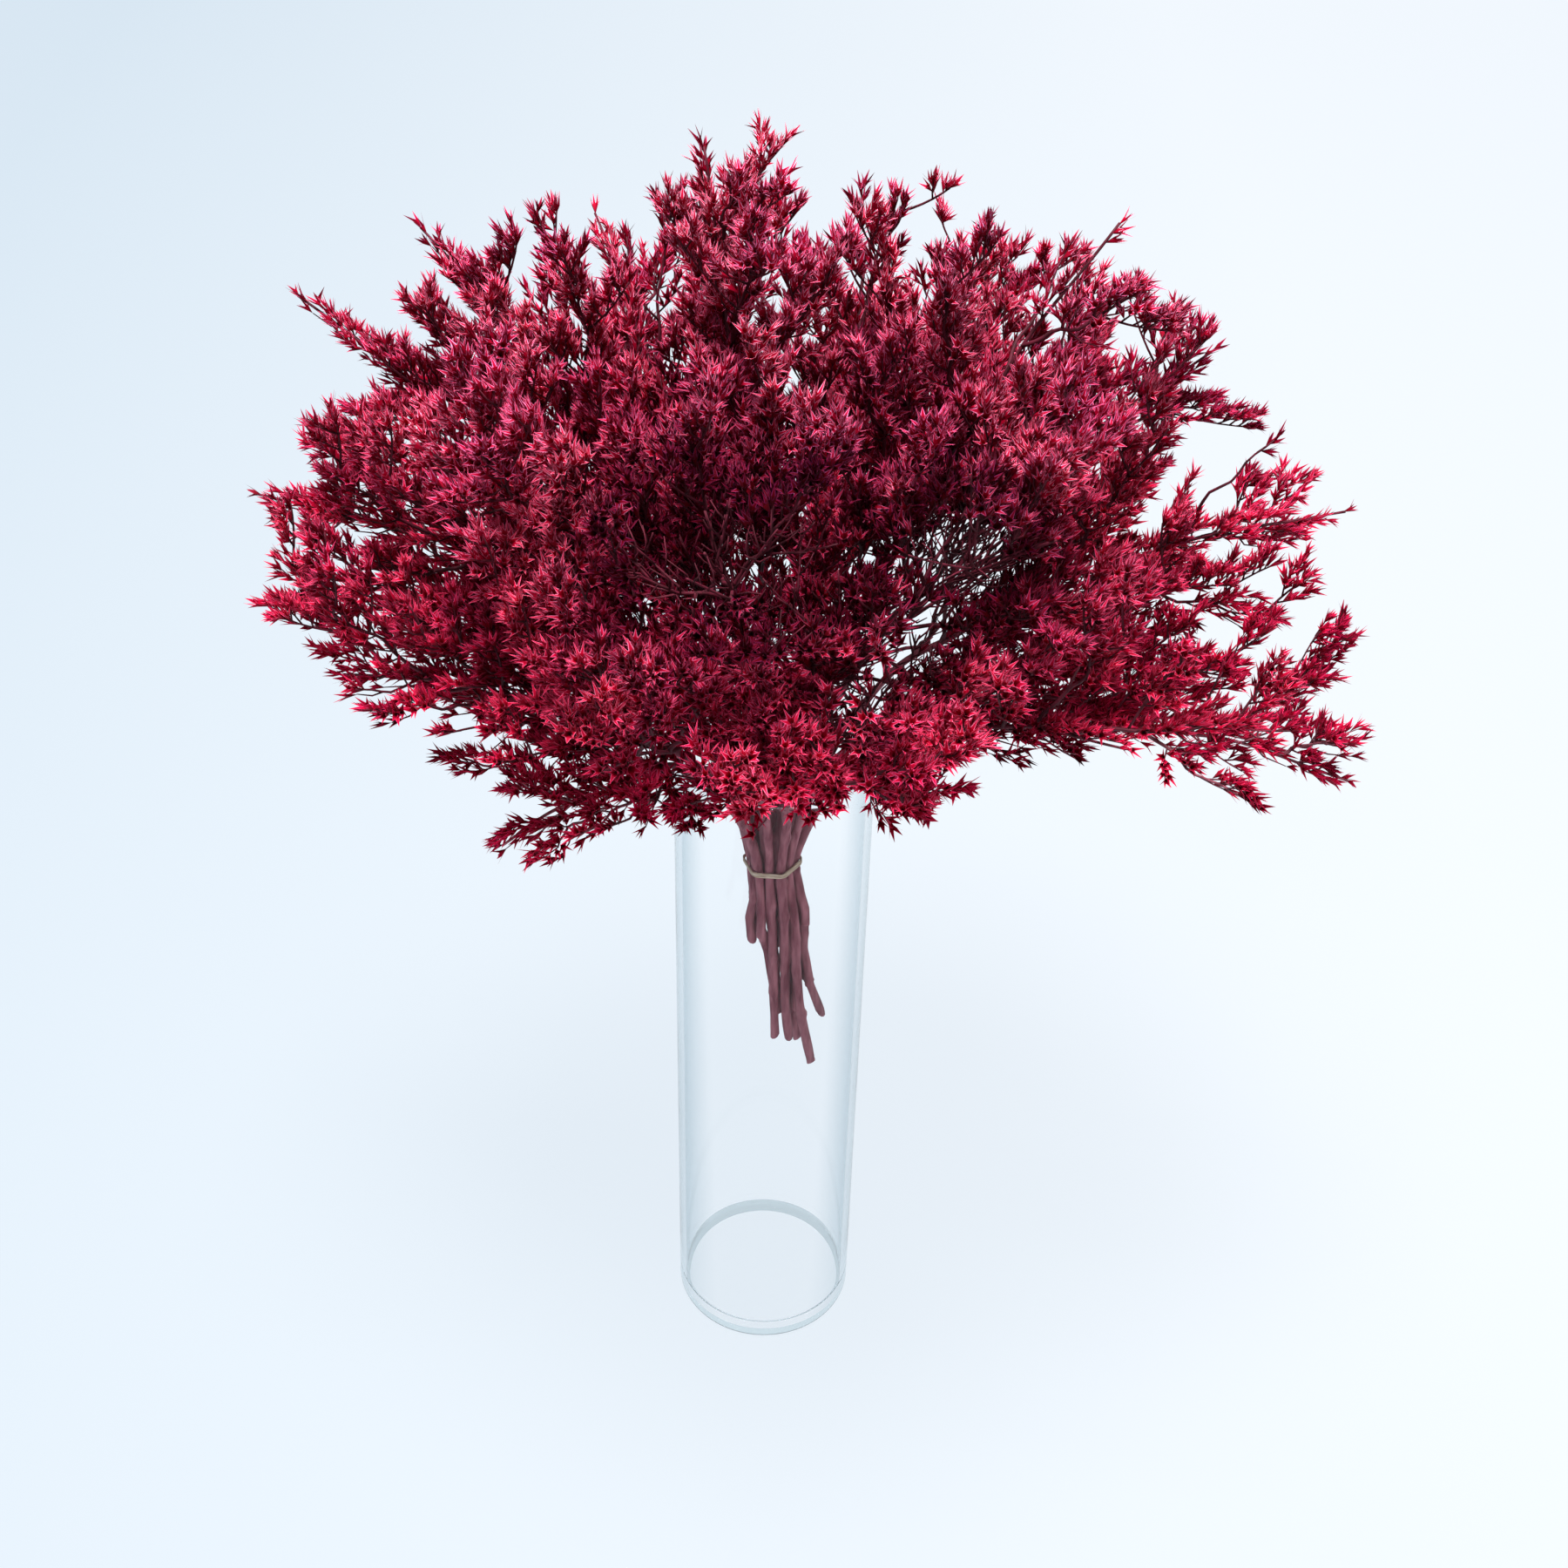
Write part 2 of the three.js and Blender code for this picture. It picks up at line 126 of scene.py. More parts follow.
def new_finish(name, **values):
    """Material with one Principled shader, whose sockets hold the given plain values."""
    material = bpy.data.materials.new(name)
    material.use_nodes = True
    shader = material.node_tree.nodes["Principled BSDF"]
    for socket, value in values.items():
        shader.inputs[socket.replace("_", " ")].default_value = value
    return material, material.node_tree, shader


def feed(tree, socket, value):
    """Give a socket its value: a link from another node's output, or a plain value."""
    if isinstance(value, bpy.types.NodeSocket):
        tree.links.new(value, socket)
    else:
        socket.default_value = value


def new_node(tree, kind, **values):
    """Node of one kind, with its inputs fed by name."""
    node = tree.nodes.new("ShaderNode" + kind)
    for socket, value in values.items():
        feed(tree, node.inputs[socket.replace("_", " ")], value)
    return node


def new_ramp(tree, source, stops):
    """Colour ramp that turns a number into a colour, from stops of place and colour."""
    ramp = new_node(tree, "ValToRGB", Fac=source)
    marks = ramp.color_ramp.elements
    marks[0].position, marks[0].color = stops[0]
    marks[1].position, marks[1].color = stops[-1]
    for place, colour in stops[1:-1]:
        marks.new(place).color = colour
    return ramp.outputs["Color"]


def new_noise(tree, scale, detail, stretch=(1, 1, 1)):
    """Cloudy pattern fixed to the object, from 0 to 1, finer by a factor along each axis."""
    place = new_node(tree, "TexCoord").outputs["Object"]
    stretched = new_node(tree, "Mapping", Vector=place, Scale=stretch).outputs["Vector"]
    return new_node(tree, "TexNoise", Vector=stretched, Scale=scale, Detail=detail).outputs["Fac"]


def new_relief(tree, shader, height, strength, distance):
    """Fine relief on a finish, whose normal leans away from where the height rises."""
    bump = new_node(tree, "Bump", Height=height, Strength=strength, Distance=distance)
    feed(tree, shader.inputs["Normal"], bump.outputs["Normal"])


def glass_profile():
    """Outline of the wall: foot, heel, outside, rim, inside and the floor back to the axis.

    Each arc has a close ring beside both its ends, so that the flat and straight stretches between
    them stay true.
    """
    inner = VASE_RADIUS - WALL
    rim = WALL / 2
    corner = inner - INNER_CORNER
    return np.vstack([
        [[0, 0], [VASE_RADIUS - HEEL_RADIUS - ARC_MARGIN, 0]],
        arc((VASE_RADIUS - HEEL_RADIUS, HEEL_RADIUS), HEEL_RADIUS, -90, 0),
        [[VASE_RADIUS, HEEL_RADIUS + ARC_MARGIN], [VASE_RADIUS, FOOT_TOP]],
        [[VASE_RADIUS, VASE_HEIGHT - rim - ARC_MARGIN]],
        arc((VASE_RADIUS - rim, VASE_HEIGHT - rim), rim, 0, 180),
        [[inner, VASE_HEIGHT - rim - ARC_MARGIN], [inner, FLOOR + INNER_CORNER + ARC_MARGIN]],
        arc((corner, FLOOR + INNER_CORNER), INNER_CORNER, 0, -90),
        [[corner - ARC_MARGIN, FLOOR], [0, FLOOR]],
    ])


glass, tree, shader = new_finish(
    "clear_glass", Base_Color=CLEAR, Roughness=0.015, IOR=GLASS_IOR, Transmission_Weight=1.0,
)
# Painted shade and reflection: seen edgewise, the clear glass turns a darker grey-blue, as if darker
# things were seen in its edges.
edgewise = new_node(tree, "LayerWeight", Blend=0.5).outputs["Facing"]
edge_shade = new_ramp(tree, edgewise, [(EDGE_SHADE_START, CLEAR), (1, EDGE_SHADE)])
feed(tree, shader.inputs["Base Color"], edge_shade)
new_relief(tree, shader, new_noise(tree, scale=14, detail=1), strength=0.05, distance=0.002)

# The foot is thick, slightly clouded glass, paler and greener than the wall above it.
foot, _, _ = new_finish(
    "foot_glass", Base_Color=FOOT_TINT, Roughness=0.15, IOR=GLASS_IOR, Transmission_Weight=0.7,
)
vase_points, vase_faces = turned(glass_profile(), VASE_SEGMENTS)
vase = new_piece("vase_glass", vase_points, vase_faces, "glass", ["vase"], glass, foot)
face_middle = vase_points[vase_faces].mean(1)
on_foot = (np.hypot(*face_middle.T[:2]) > VASE_RADIUS - WALL) & (face_middle[:, 2] < FOOT_TOP)
vase.data.polygons.foreach_set("material_index", on_foot.astype(np.int32))

# ----------------------------------------------------------------------
# Stems. Nineteen cut stems of statice, dried and dyed, packed in a hexagon at the band. Above it
# they fan out past the rim, and side branches grow from them into the room that is left.

TIE_HEIGHT = 250
STEM_RADIUS = 1.9
STEM_PITCH = 4.2
LATTICE_TURN = np.radians(-8)
SPIRAL_PER_MILLIMETRE = 0.0066
DRIFT = np.array([12, 2])
DRIFT_DEPTH = 106
NECK_HEIGHT = 283
NECK_SPREAD = 1.75
GATE_HEIGHT = VASE_HEIGHT + 1
GATE_RADII = (1.5, 12, 24)
GATE_STEM_RADIUS = 1.75
REST_GAP = 0.35
CROWN_STIFFNESS = 0.4
BRANCH_PLACES = (0.2, 0.88)
PLACE_SPREAD = 0.05
BRANCH_LENGTHS = (104, 52)
BRANCH_ANGLES = np.radians((62, 44))
BRANCH_RISE = 0.18
BRANCH_SETTLE = 0.75
BARE_SHARE = 0.26
GOLDEN_ANGLE = np.pi * (3 - np.sqrt(5))
SURVEY_SPACING = 6
TURN_TRIES = 8
LENGTH_TRIES = (1, 0.8, 0.62)
BRANCH_DISTANCE = 17
GLASS_CLEARANCE = 6
HEAD_CLEARANCE = 6
ENOUGH_ROOM = 1.2
LEAST_ROOM = 0.5
STEM_DRAWS = 2000
BRANCH_DRAWS = 100
LEADER_DRAWS = 1500
HEAD_CENTRE = np.array([11, 0, 335])
HEAD_RADII = np.array([196, 182, 190])
HEAD_FOOT = 306
SIDE_SLOPE = 15
FRONT_SLOPE = 35
SPREAD = (0.85, 1.15)
NOTCHES = (
    (-150, -70, 308, 62), (80, -122, 352, 42), (196, -34, 378, 36), (186, 48, 436, 44),
    (150, 50, 480, 44), (75, 90, 492, 44), (20, 60, 530, 34), (-52, 80, 510, 40),
)

# Each stem has its ring and step in the bundle, the height of its cut, how far it splays, its
# number of side branches, its tip, whether it lies on the rim, and the slope of its underside.
Stem = namedtuple("Stem", "ring step cut splay branches tip on_rim slope", defaults=(False, SIDE_SLOPE))
STEMS = [Stem(*row) for row in (
    (0, 0, 150, 0, 10, (-27, 24, 528)),
    (1, 0, 172, 0, 10, (108, 18, 508)),
    (1, 1, 180, 0, 9, (36, 72, 492)),
    (1, 2, 165, 0, 10, (-128, 68, 478)),
    (1, 3, 192, 0, 10, (-112, -48, 456)),
    (1, 4, 168, 0, 12, (-22, -104, 456)),
    (1, 5, 156, 0, 12, (84, -86, 452)),
    (2, 0, 218, 4, 9, (207, -30, 318), True, 7),
    (2, 1, 183, 3, 10, (202, 24, 398)),
    (2, 2, 160, 1, 10, (158, 82, 430)),
    (2, 3, 190, 0, 9, (84, 146, 438), True),
    (2, 4, 200, 0, 9, (-74, 146, 450)),
    (2, 5, 196, 0, 10, (-176, 76, 447)),
    (2, 6, 205, 2, 10, (-186, 22, 396)),
    (2, 7, 210, 5, 10, (-152, -28, 354), True),
    (2, 8, 186, 0, 7, (-98, -46, 292), True, -4),
    (2, 9, 158, 0, 10, (-52, -128, 392)),
    (2, 10, 176, 0, 12, (20, -140, 390), False, 7),
    (2, 11, 146, 4, 11, (112, -95, 380)),
)]


def draw(k):
    """Repeatable draw from 0 to 1: the fraction of a large multiple of the sine of k."""
    wave = np.sin(k * 12.9898) * 43758.5453
    return wave - np.floor(wave)


def between(ends, share):
    """Straight-line value at a share of the way between two ends."""
    return ends[0] + (ends[1] - ends[0]) * share


def unit(vector):
    """Vector divided by its length."""
    return vector / np.linalg.norm(vector, axis=-1, keepdims=True)


def on_curve(curve, t):
    """Quadratic curve through three control points: the squared binomial weights of 1 - t and t."""
    t = np.asarray(t)[..., None]
    return (1 - t) ** 2 * curve[0] + 2 * (1 - t) * t * curve[1] + t ** 2 * curve[2]


def points_on(curves, places):
    """Points at the same places along each of several quadratic curves."""
    return on_curve(curves.transpose(1, 0, 2)[:, :, None], np.array(places))


def along_curve(curve, t):
    """Unit direction of a quadratic curve: its first leg turns into its last one, evenly with t."""
    t = np.asarray(t)[..., None]
    return unit((1 - t) * (curve[1] - curve[0]) + t * (curve[2] - curve[1]))


def cross_axes(direction, guide):
    """Two unit vectors square to each direction, the first one as near the guide as can be."""
    across = unit(guide - (guide * direction).sum(-1, keepdims=True) * direction)
    return across, np.cross(direction, across)


def square_to(direction, guide, turn):
    """Unit vector square to each direction: the guide's side of it, turned round it by an angle."""
    across, up = cross_axes(direction, guide)
    return np.cos(turn) * across + np.sin(turn) * up


def span(curve):
    """Straight distance from the start of a curve, or of each of several, to its end."""
    return np.linalg.norm(curve[..., 2, :] - curve[..., 0, :], axis=-1)


def packed_place(ring, step):
    """Place in a hexagonal packing: ring times pitch, or the middle of the hexagon's edge."""
    angle = LATTICE_TURN + step * np.pi / (3 * max(ring, 1))
    on_edge = ring == 2 and step % 2 == 1
    radius = STEM_PITCH * (np.sqrt(3) if on_edge else ring)
    outward = np.array([np.cos(angle), np.sin(angle), 0]) * (ring > 0)
    return radius * outward, outward


def stem_route(stem):
    """Straight from the cut end to the band, a curve to the rim's height and a curve to the tip.

    Below the band the stem leans round the bundle by a small turn per millimetre of depth. At
    the rim it keeps its ring's distance from the axis, or lies square on the round of the glass.
    """
    place, outward = packed_place(stem.ring, stem.step)
    depth = TIE_HEIGHT - stem.cut
    lean = -SPIRAL_PER_MILLIMETRE * depth
    end = np.array([place[0] - lean * place[1], place[1] + lean * place[0], stem.cut])
    end[:2] += stem.splay * outward[:2] + DRIFT * depth / DRIFT_DEPTH
    knot = place + [0, 0, TIE_HEIGHT]
    neck = place * NECK_SPREAD + [0, 0, NECK_HEIGHT]
    top = np.array(stem.tip, float)
    heading = unit(unit(top * [1, 1, 0]) + outward)
    side = np.array([-heading[1], heading[0], 0])
    gate = GATE_RADII[stem.ring] * heading + [0, 0, GATE_HEIGHT]
    if stem.on_rim:
        rim_radius = WALL / 2
        rim = (VASE_RADIUS - rim_radius) * heading + [0, 0, VASE_HEIGHT - rim_radius]
        gate = rim + unit(np.cross(rim - neck, side)) * (rim_radius + REST_GAP + GATE_STEM_RADIUS)
    bend = gate + unit(gate - neck) * np.linalg.norm(top - gate) * CROWN_STIFFNESS
    return {
        "end": end, "side": side,
        "lower": np.array([knot, neck, gate]), "upper": np.array([gate, bend, top]),
    }


def new_rod(own, curve, guide, **more):
    """Stem or side branch: a curve with survey points spread evenly in t, the root left out."""
    count = int(np.ceil(span(curve) / SURVEY_SPACING))
    points = on_curve(curve, np.arange(1, count + 1) / count)
    return {"own": own, "curve": curve, "guide": guide, "points": points, **more}


def head_depth(points):
    """Depth inside the head's ellipsoid, measured along its upright half-axis."""
    return HEAD_RADII[2] * (1 - np.linalg.norm((points - HEAD_CENTRE) / HEAD_RADII, axis=-1))


def head_room(points, slope, notch_share=1.0):
    """Distance inside the rounded head, which the balls of the notches are cut from.

    Its top is an ellipsoid. Its underside is a cone that rises outwards from the rim, more
    steeply by the square of how far a point lies to the front.
    """
    radius = np.hypot(points[:, 0], points[:, 1])
    front = np.maximum(-points[:, 1] / radius, 0) ** 2
    angle = np.radians(slope) + np.radians(FRONT_SLOPE - SIDE_SLOPE) * front
    room = np.minimum(head_depth(points), points[:, 2] - HEAD_FOOT - radius * np.tan(angle))
    for *middle, reach in NOTCHES:
        room = np.minimum(room, np.linalg.norm(points - middle, axis=-1) - reach * notch_share)
    return room


def glass_gap(points):
    """Distance from a full cylinder as high and as wide as the vase."""
    side = np.maximum(np.hypot(points[:, 0], points[:, 1]) - VASE_RADIUS, 0)
    above = np.maximum(points[:, 2] - VASE_HEIGHT, 0)
    return np.hypot(side, above)


def branch_rod(own, index, turn, length_share):
    """Side branch: leaves its stem at a wide angle, settles closer to it and bends upwards.

    Its place, length and angle go from those of the lowest to those of the highest branch, and
    the golden angle turns each one on from the one below. Each stem has its own run of numbers
    for its draws, each of its branches a shorter run in that, and its own twigs the last part.
    """
    route = routes[own]
    share = index / (STEMS[own].branches - 1)
    key = own * STEM_DRAWS + index * BRANCH_DRAWS
    at = between(BRANCH_PLACES, share + PLACE_SPREAD * (draw(key) - 0.5))
    root = on_curve(route["upper"], at)
    ahead = along_curve(route["upper"], at)
    away = square_to(ahead, route["side"], index * GOLDEN_ANGLE + own + turn)
    angle = between(BRANCH_ANGLES, share)
    length = between(BRANCH_LENGTHS, share) * between(SPREAD, draw(key + 1)) * length_share
    turns = np.array([angle, angle * BRANCH_SETTLE])[:, None]
    legs = np.cos(turns) * ahead + np.sin(turns) * away + [0, 0, BRANCH_RISE]
    first, last = unit(legs) * length / 2
    curve = np.array([root, root + first, root + first + last])
    guide = unit(np.cross(first, last))
    return new_rod(own, curve, guide, length=length, key=key, at=at)


def branch_room(branch, others):
    """Least of the distances from the glass, the head's skin and other rods, as shares of enough."""
    points = branch["points"]
    outer = points[int(len(points) * BARE_SHARE):]
    gaps = np.linalg.norm(outer[:, None] - others[None], axis=-1).min()
    edge = head_room(outer, STEMS[branch["own"]].slope).min()
    return min(glass_gap(outer).min() / GLASS_CLEARANCE, 1 + edge / HEAD_CLEARANCE,
               gaps / BRANCH_DISTANCE)


def best_branch(own, index, rods):
    """Of the tried turns and lengths, the branch with the highest room times length share."""
    others = np.vstack([rod["points"] for k, rod in enumerate(rods) if k != own])
    best, best_score = None, LEAST_ROOM
    for turn in angles_round(TURN_TRIES):
        for length_share in LENGTH_TRIES:
            branch = branch_rod(own, index, turn, length_share)
            score = min(branch_room(branch, others), ENOUGH_ROOM) * length_share
            if score > best_score:
                best, best_score = branch, score
    return best


routes = [stem_route(stem) for stem in STEMS]
rods = [new_rod(own, route["upper"], route["side"]) for own, route in enumerate(routes)]
for index in range(max(stem.branches for stem in STEMS)):
    for own, stem in enumerate(STEMS):
        branch = best_branch(own, index, rods) if index < stem.branches else None
        if branch:
            rods.append(branch)

# ----------------------------------------------------------------------
# Twigs. Side branches fork once more into fine sprigs wherever a gap is left. Thin twigs point
# forwards from stems, branches and sprigs, and each one bears papery flowers on its upper side.

TWIG_SHARE = 0.3
LAST_STEM_TWIGS = 0.95
LAST_TWIGS = 0.88
TWIG_SPACING = 11
TWIG_LENGTHS = (17, 10)
TWIG_ANGLES = np.radians((54, 36))
CLOSED_ANGLE = 0.62
CLOSED_LENGTH = 0.7
EXTRA_TWIG = 0.85
EXTRA_SPREAD = (0.6, 1.15)
LEAST_TWIG = 2
TWIG_SHRINK = 0.85
TWIG_CLEARANCE = 0.8
TWIG_SET_BACK = 0.4
TWIG_SIDES = 3
TWIG_RADII = (0.42, 0.34, 0.2)
LIGHTWARD = 0.9
STEM_SWAY = 1.5
BRANCH_SWAY = 1.1
SLOW_WAVES = 1.6
QUICK_WAVES = 3.3
SPRIG_PLACES = (0.34, 0.92)
SPRIG_SPACING = 14
SPRIG_LENGTHS = (36, 22)
SPRIG_ANGLES = np.radians((56, 36))
SPRIG_TRIES = 10
SHORTER_SPRIG = 0.7
SPRIG_ROOM = 12
LEAST_SPRIG_ROOM = 7.5
SPRIG_NOTCHES = 0.8
SPRIG_GLASS_CLEARANCE = 3
SPRIG_TWIG_SPACING = 5
SPRIG_TWIG_PLACES = (0.3, 0.95)
SPRIG_TWIG_LENGTHS = (12, 8)
SPRIG_TWIG_ANGLES = (30, 50)
SPRIG_RADII = (0.5, 0.3)
SPRIG_STEPS = 6
SPRIG_SIDES = 4

survey_size = max(len(rod["points"]) for rod in rods)
survey = np.full((len(rods), survey_size, 3), 1e6)
for number, rod in enumerate(rods):
    survey[number, :len(rod["points"])] = rod["points"]


def clearance(points, number):
    """Distance inside the rod's own space, which ends half-way to the nearest point of another.

    For each other rod this is the difference of the two squared distances over twice the
    distance between the two nearest survey points. The glass keeps its own space.
    """
    own = survey[number]
    apart = ((points[:, None] - own) ** 2).sum(-1)
    nearest = own[apart.argmin(1)]
    reach = apart.min(1)
    apart = ((points[:, None, None] - survey) ** 2).sum(-1)
    pick = apart.argmin(2)
    other = survey[np.arange(len(survey)), pick]
    lead = apart.min(2) - reach[:, None]
    gap = lead / np.maximum(2 * np.linalg.norm(other - nearest[:, None], axis=-1), 1e-9)
    gap[:, number] = np.inf
    return np.minimum(gap.min(1), glass_gap(points))


def sway(number, t):
    """Small wander off the smooth curve: a slow and a quick sine in t, none at either end.

    A branch also starts from where its own stem has wandered to, and loses that towards its tip.
    """
    rod = rods[number]
    across, up = cross_axes(along_curve(rod["curve"], t), rod["guide"])
    size = STEM_SWAY if number < len(STEMS) else BRANCH_SWAY
    window = (size * np.sin(np.pi * np.clip(t, 0, 1)))[..., None]
    slow = np.sin(2 * np.pi * (SLOW_WAVES * t + draw(number * 3 + 1)))[..., None]
    quick = np.sin(2 * np.pi * (QUICK_WAVES * t + draw(number * 3 + 2)))[..., None]
    wander = window * ((slow + 0.5 * quick) * across + (quick - 0.6 * slow) * up)
    if number >= len(STEMS):
        wander = wander + sway(rod["own"], np.array(rod["at"])) * (1 - t[..., None]) ** 2
    return wander


def grown(number, t):
    """Points of a rod as it has grown: its smooth curve plus its sway."""
    return on_curve(rods[number]["curve"], t) + sway(number, t)


def lightward(points):
    """Direction in which flowers look: outwards from the foot of the head, and upwards as much."""
    return unit(unit(points - [HEAD_CENTRE[0], 0, HEAD_FOOT]) + [0, 0, 1])


def twigs_of(number, rng):
    """Twigs of one rod, in rings of four, with the twig at the rod's own end as the last one.

    A twig leans away from the rod by an angle and is shortened in equal shares until its tip
    stands clear inside the rod's own space. Every other one is an extra: shorter, and turned from
    its side of the rod towards the light. From ring to ring the extras change places. Near the
    rod's end they lie closer to it, by the cube of the share of the way.
    """
    rod = rods[number]
    curve = rod["curve"]
    on_stem = number < len(STEMS)
    first, last = (TWIG_SHARE, LAST_STEM_TWIGS) if on_stem else (BARE_SHARE, LAST_TWIGS)
    key = rod["own"] * STEM_DRAWS + LEADER_DRAWS if on_stem else rod["key"] + 2
    length = span(curve) if on_stem else rod["length"]
    rows = max(3, int(np.floor(length * (last - first) / TWIG_SPACING + 0.5)) + 1)
    row = np.repeat(np.arange(1, rows), 4)
    side = np.tile(np.arange(4), rows - 1)
    share = row / (rows - 1)
    extra = (row + side) % 2 == 1
    t = between((first, last), share) - extra * rng.uniform(0, 1, len(row)) * (last - first) / rows
    ahead = along_curve(curve, t)
    away = square_to(ahead, rod["guide"], (side * np.pi / 2)[:, None])
    point = on_curve(curve, t)
    away = cross_axes(ahead, away + LIGHTWARD * extra[:, None] * lightward(point))[0]
    seed = key + row * 8 + 2 * side
    angle = between(TWIG_ANGLES, share) * between((1, CLOSED_ANGLE), share ** 3)
    angle = (angle * between(SPREAD, draw(seed)))[:, None]
    heading = np.cos(angle) * ahead + np.sin(angle) * away
    size = between(TWIG_LENGTHS, share) * between((1, CLOSED_LENGTH), share ** 3)
    size = size * between(SPREAD, draw(seed + 1))
    size = np.where(extra, size * EXTRA_TWIG * rng.uniform(*EXTRA_SPREAD, len(size)), size)
    crowded = np.arange(len(size))
    while len(crowded):
        tips = point[crowded] + heading[crowded] * size[crowded, None]
        close = clearance(tips, number) < TWIG_CLEARANCE
        crowded = crowded[close & (size[crowded] > LEAST_TWIG)]
        size[crowded] *= TWIG_SHRINK
    tip = point + heading * size[:, None]
    root = grown(number, np.maximum(t - TWIG_SET_BACK * (last - first) / (rows - 1), 0))
    bend = root + (0.5 * away + 0.3 * ahead) * size[:, None]
    end = grown(number, np.array([last, (1 + last) / 2, 1]))
    curves = np.concatenate([np.stack([root, bend, tip], 1), end[None]])
    return curves, np.concatenate([away, away[-1:]])


def sprig_tries(number, place):
    """Curves tried for one sprig: every turn round the rod at its full and at a shorter length.

    It leaves the rod at a wide angle, settles closer to the rod's direction and rises a little.
    """
    curve = rods[number]["curve"]
    root = grown(number, np.array(place))
    ahead = along_curve(curve, place)
    turn = angles_round(SPRIG_TRIES)[:, None] + draw(number + place)
    away = square_to(ahead, rods[number]["guide"], turn)
    length = between(SPRIG_LENGTHS, place) * between(SPREAD, draw(number + 3 * place))
    legs = np.cos(SPRIG_ANGLES)[:, None, None] * ahead + np.sin(SPRIG_ANGLES)[:, None, None] * away
    first, last = unit(legs + [0, 0, BRANCH_RISE]) * length / 2
    whole = np.stack([root + 0 * first, root + first, root + first + last], 1)
    return np.concatenate([whole, root + (whole - root) * SHORTER_SPRIG])


def room_of(points, standing):
    """Least distance of each group of points from the points that already stand."""
    flat = points.reshape(-1, 3)
    squares = (flat ** 2).sum(1)[:, None] + (standing ** 2).sum(1) - 2 * flat @ standing.T
    return np.sqrt(np.maximum(squares, 0)).min(1).reshape(points.shape[:2]).min(1)


def grow_sprigs():
    """Sprigs of all rods, place by place: the try with the most room times length, if any is left.

    Its outer half is what has to stay clear, inside the head and off the glass.
    """
    standing = np.vstack([rod["points"] for rod in rods])
    found = []
    places = []
    for number, rod in enumerate(rods):
        stretch = span(rod["curve"]) * (SPRIG_PLACES[1] - SPRIG_PLACES[0])
        steps = max(2, int(stretch / SPRIG_SPACING))
        places += [(step / steps, number, between(SPRIG_PLACES, step / steps))
                   for step in range(steps + 1)]
    for _, number, place in sorted(places):
        tries = sprig_tries(number, place)
        points = points_on(tries, (0.5, 0.75, 1))
        flat = points.reshape(-1, 3)
        inside = head_room(flat, STEMS[rods[number]["own"]].slope, SPRIG_NOTCHES)
        inside = np.minimum(inside, glass_gap(flat) - SPRIG_GLASS_CLEARANCE)
        room = np.where(inside.reshape(-1, 3).min(1) > 0, room_of(points, standing), 0)
        best = (np.minimum(room, SPRIG_ROOM) * span(tries)).argmax()
        if room[best] > LEAST_SPRIG_ROOM:
            found.append((number, tries[best]))
            standing = np.vstack([standing, points[best]])
    return found


def sprig_twigs(curve, rng):
    """Twigs of one sprig: on its upper side, to the left and to the right in turn, and one ahead."""
    count = max(3, int(span(curve) / SPRIG_TWIG_SPACING))
    share = (np.arange(count) + rng.uniform(-0.25, 0.25, count)) / count
    t = between(SPRIG_TWIG_PLACES, np.clip(share, 0, 1))
    root = on_curve(curve, t)
    ahead = along_curve(curve, t)
    lift, left = cross_axes(ahead, lightward(root))
    hand = np.where(np.arange(count) % 2 == 0, 1, -1) * rng.uniform(0.5, 1.3, count)
    away = unit(lift + hand[:, None] * left)
    angle = np.radians(rng.uniform(*SPRIG_TWIG_ANGLES, count))[:, None]
    size = (between(SPRIG_TWIG_LENGTHS, share) * rng.uniform(0.75, 1.2, count))[:, None]
    tip = root + (np.cos(angle) * ahead + np.sin(angle) * away) * size
    bend = root + (0.45 * away + 0.3 * ahead) * size
    end = on_curve(curve, np.array([0.8, 0.9, 1]))
    return np.concatenate([np.stack([root, bend, tip], 1), end[None]]), np.vstack([away, lift[-1:]])


sprigs = grow_sprigs()

# ----------------------------------------------------------------------
# Sprays. A dried stem is round, woody and dull, with a bud scar every so often. Each flower that
# is left on it is a dry papery funnel, open at the end in five pointed lobes.

STEM_SIDES = 10
FREE_STEPS = 50
NECK_STEPS = 16
CROWN_STEPS = 44
WAVER = 2.4
SCAR_SPACING = 22
CUT_SLANT = 0.35
UPPER_STEM_RADIUS = 1.15
TIP_RADIUS = 0.45
BRANCH_SIDES = 5
BRANCH_STEPS = 16
BRANCH_RADII = (0.85, 0.32)
FIRST_SEED = 700
FLOWER_SPACING = 2.3
MOST_FLOWERS = 8
FLOWER_ANGLES = (46, 12)
NOTCH_PLACE = (1.05, 3.3)
TIP_PLACE = (2.35, 6.4)
OPEN_DEPTHS = (75, 130)
LEAST_OPEN = 0.42
LOW_SPRAYS = (15, 17)
PAINTED_LIT_SPRAY = 17

# Both ends of each hollow's middle line and its radius. Then the balls of the head that are worn
# thin: middle, radius and the share of twigs that stay on there.
HOLLOWS = (
    ((-26, -124, 470), (-28, -64, 434), 30), ((8, -120, 462), (4, -64, 426), 29),
    ((55, -98, 455), (78, 100, 330), 24), ((38, -112, 426), (50, 0, 364), 17),
    ((24, -126, 414), (32, -30, 362), 13),
)
WISPY = (
    (62, 90, 484, 58, 0.12), (-45, 108, 470, 40, 0.3), (172, 18, 440, 54, 0.15),
    (166, -66, 345, 44, 0.45), (-118, -74, 352, 50, 0.38), (-112, -10, 306, 46, 0.5),
    (-70, -90, 340, 40, 0.4), (112, 66, 478, 48, 0.15), (98, -108, 374, 42, 0.4),
    (-27, 24, 532, 26, 0.3), (36, 72, 496, 26, 0.25), (84, 36, 494, 46, 0.18),
    (-34, -110, 358, 40, 0.25), (-74, 86, 470, 40, 0.5), (90, -84, 376, 36, 0.35),
)
WORN_CORE = 0.6
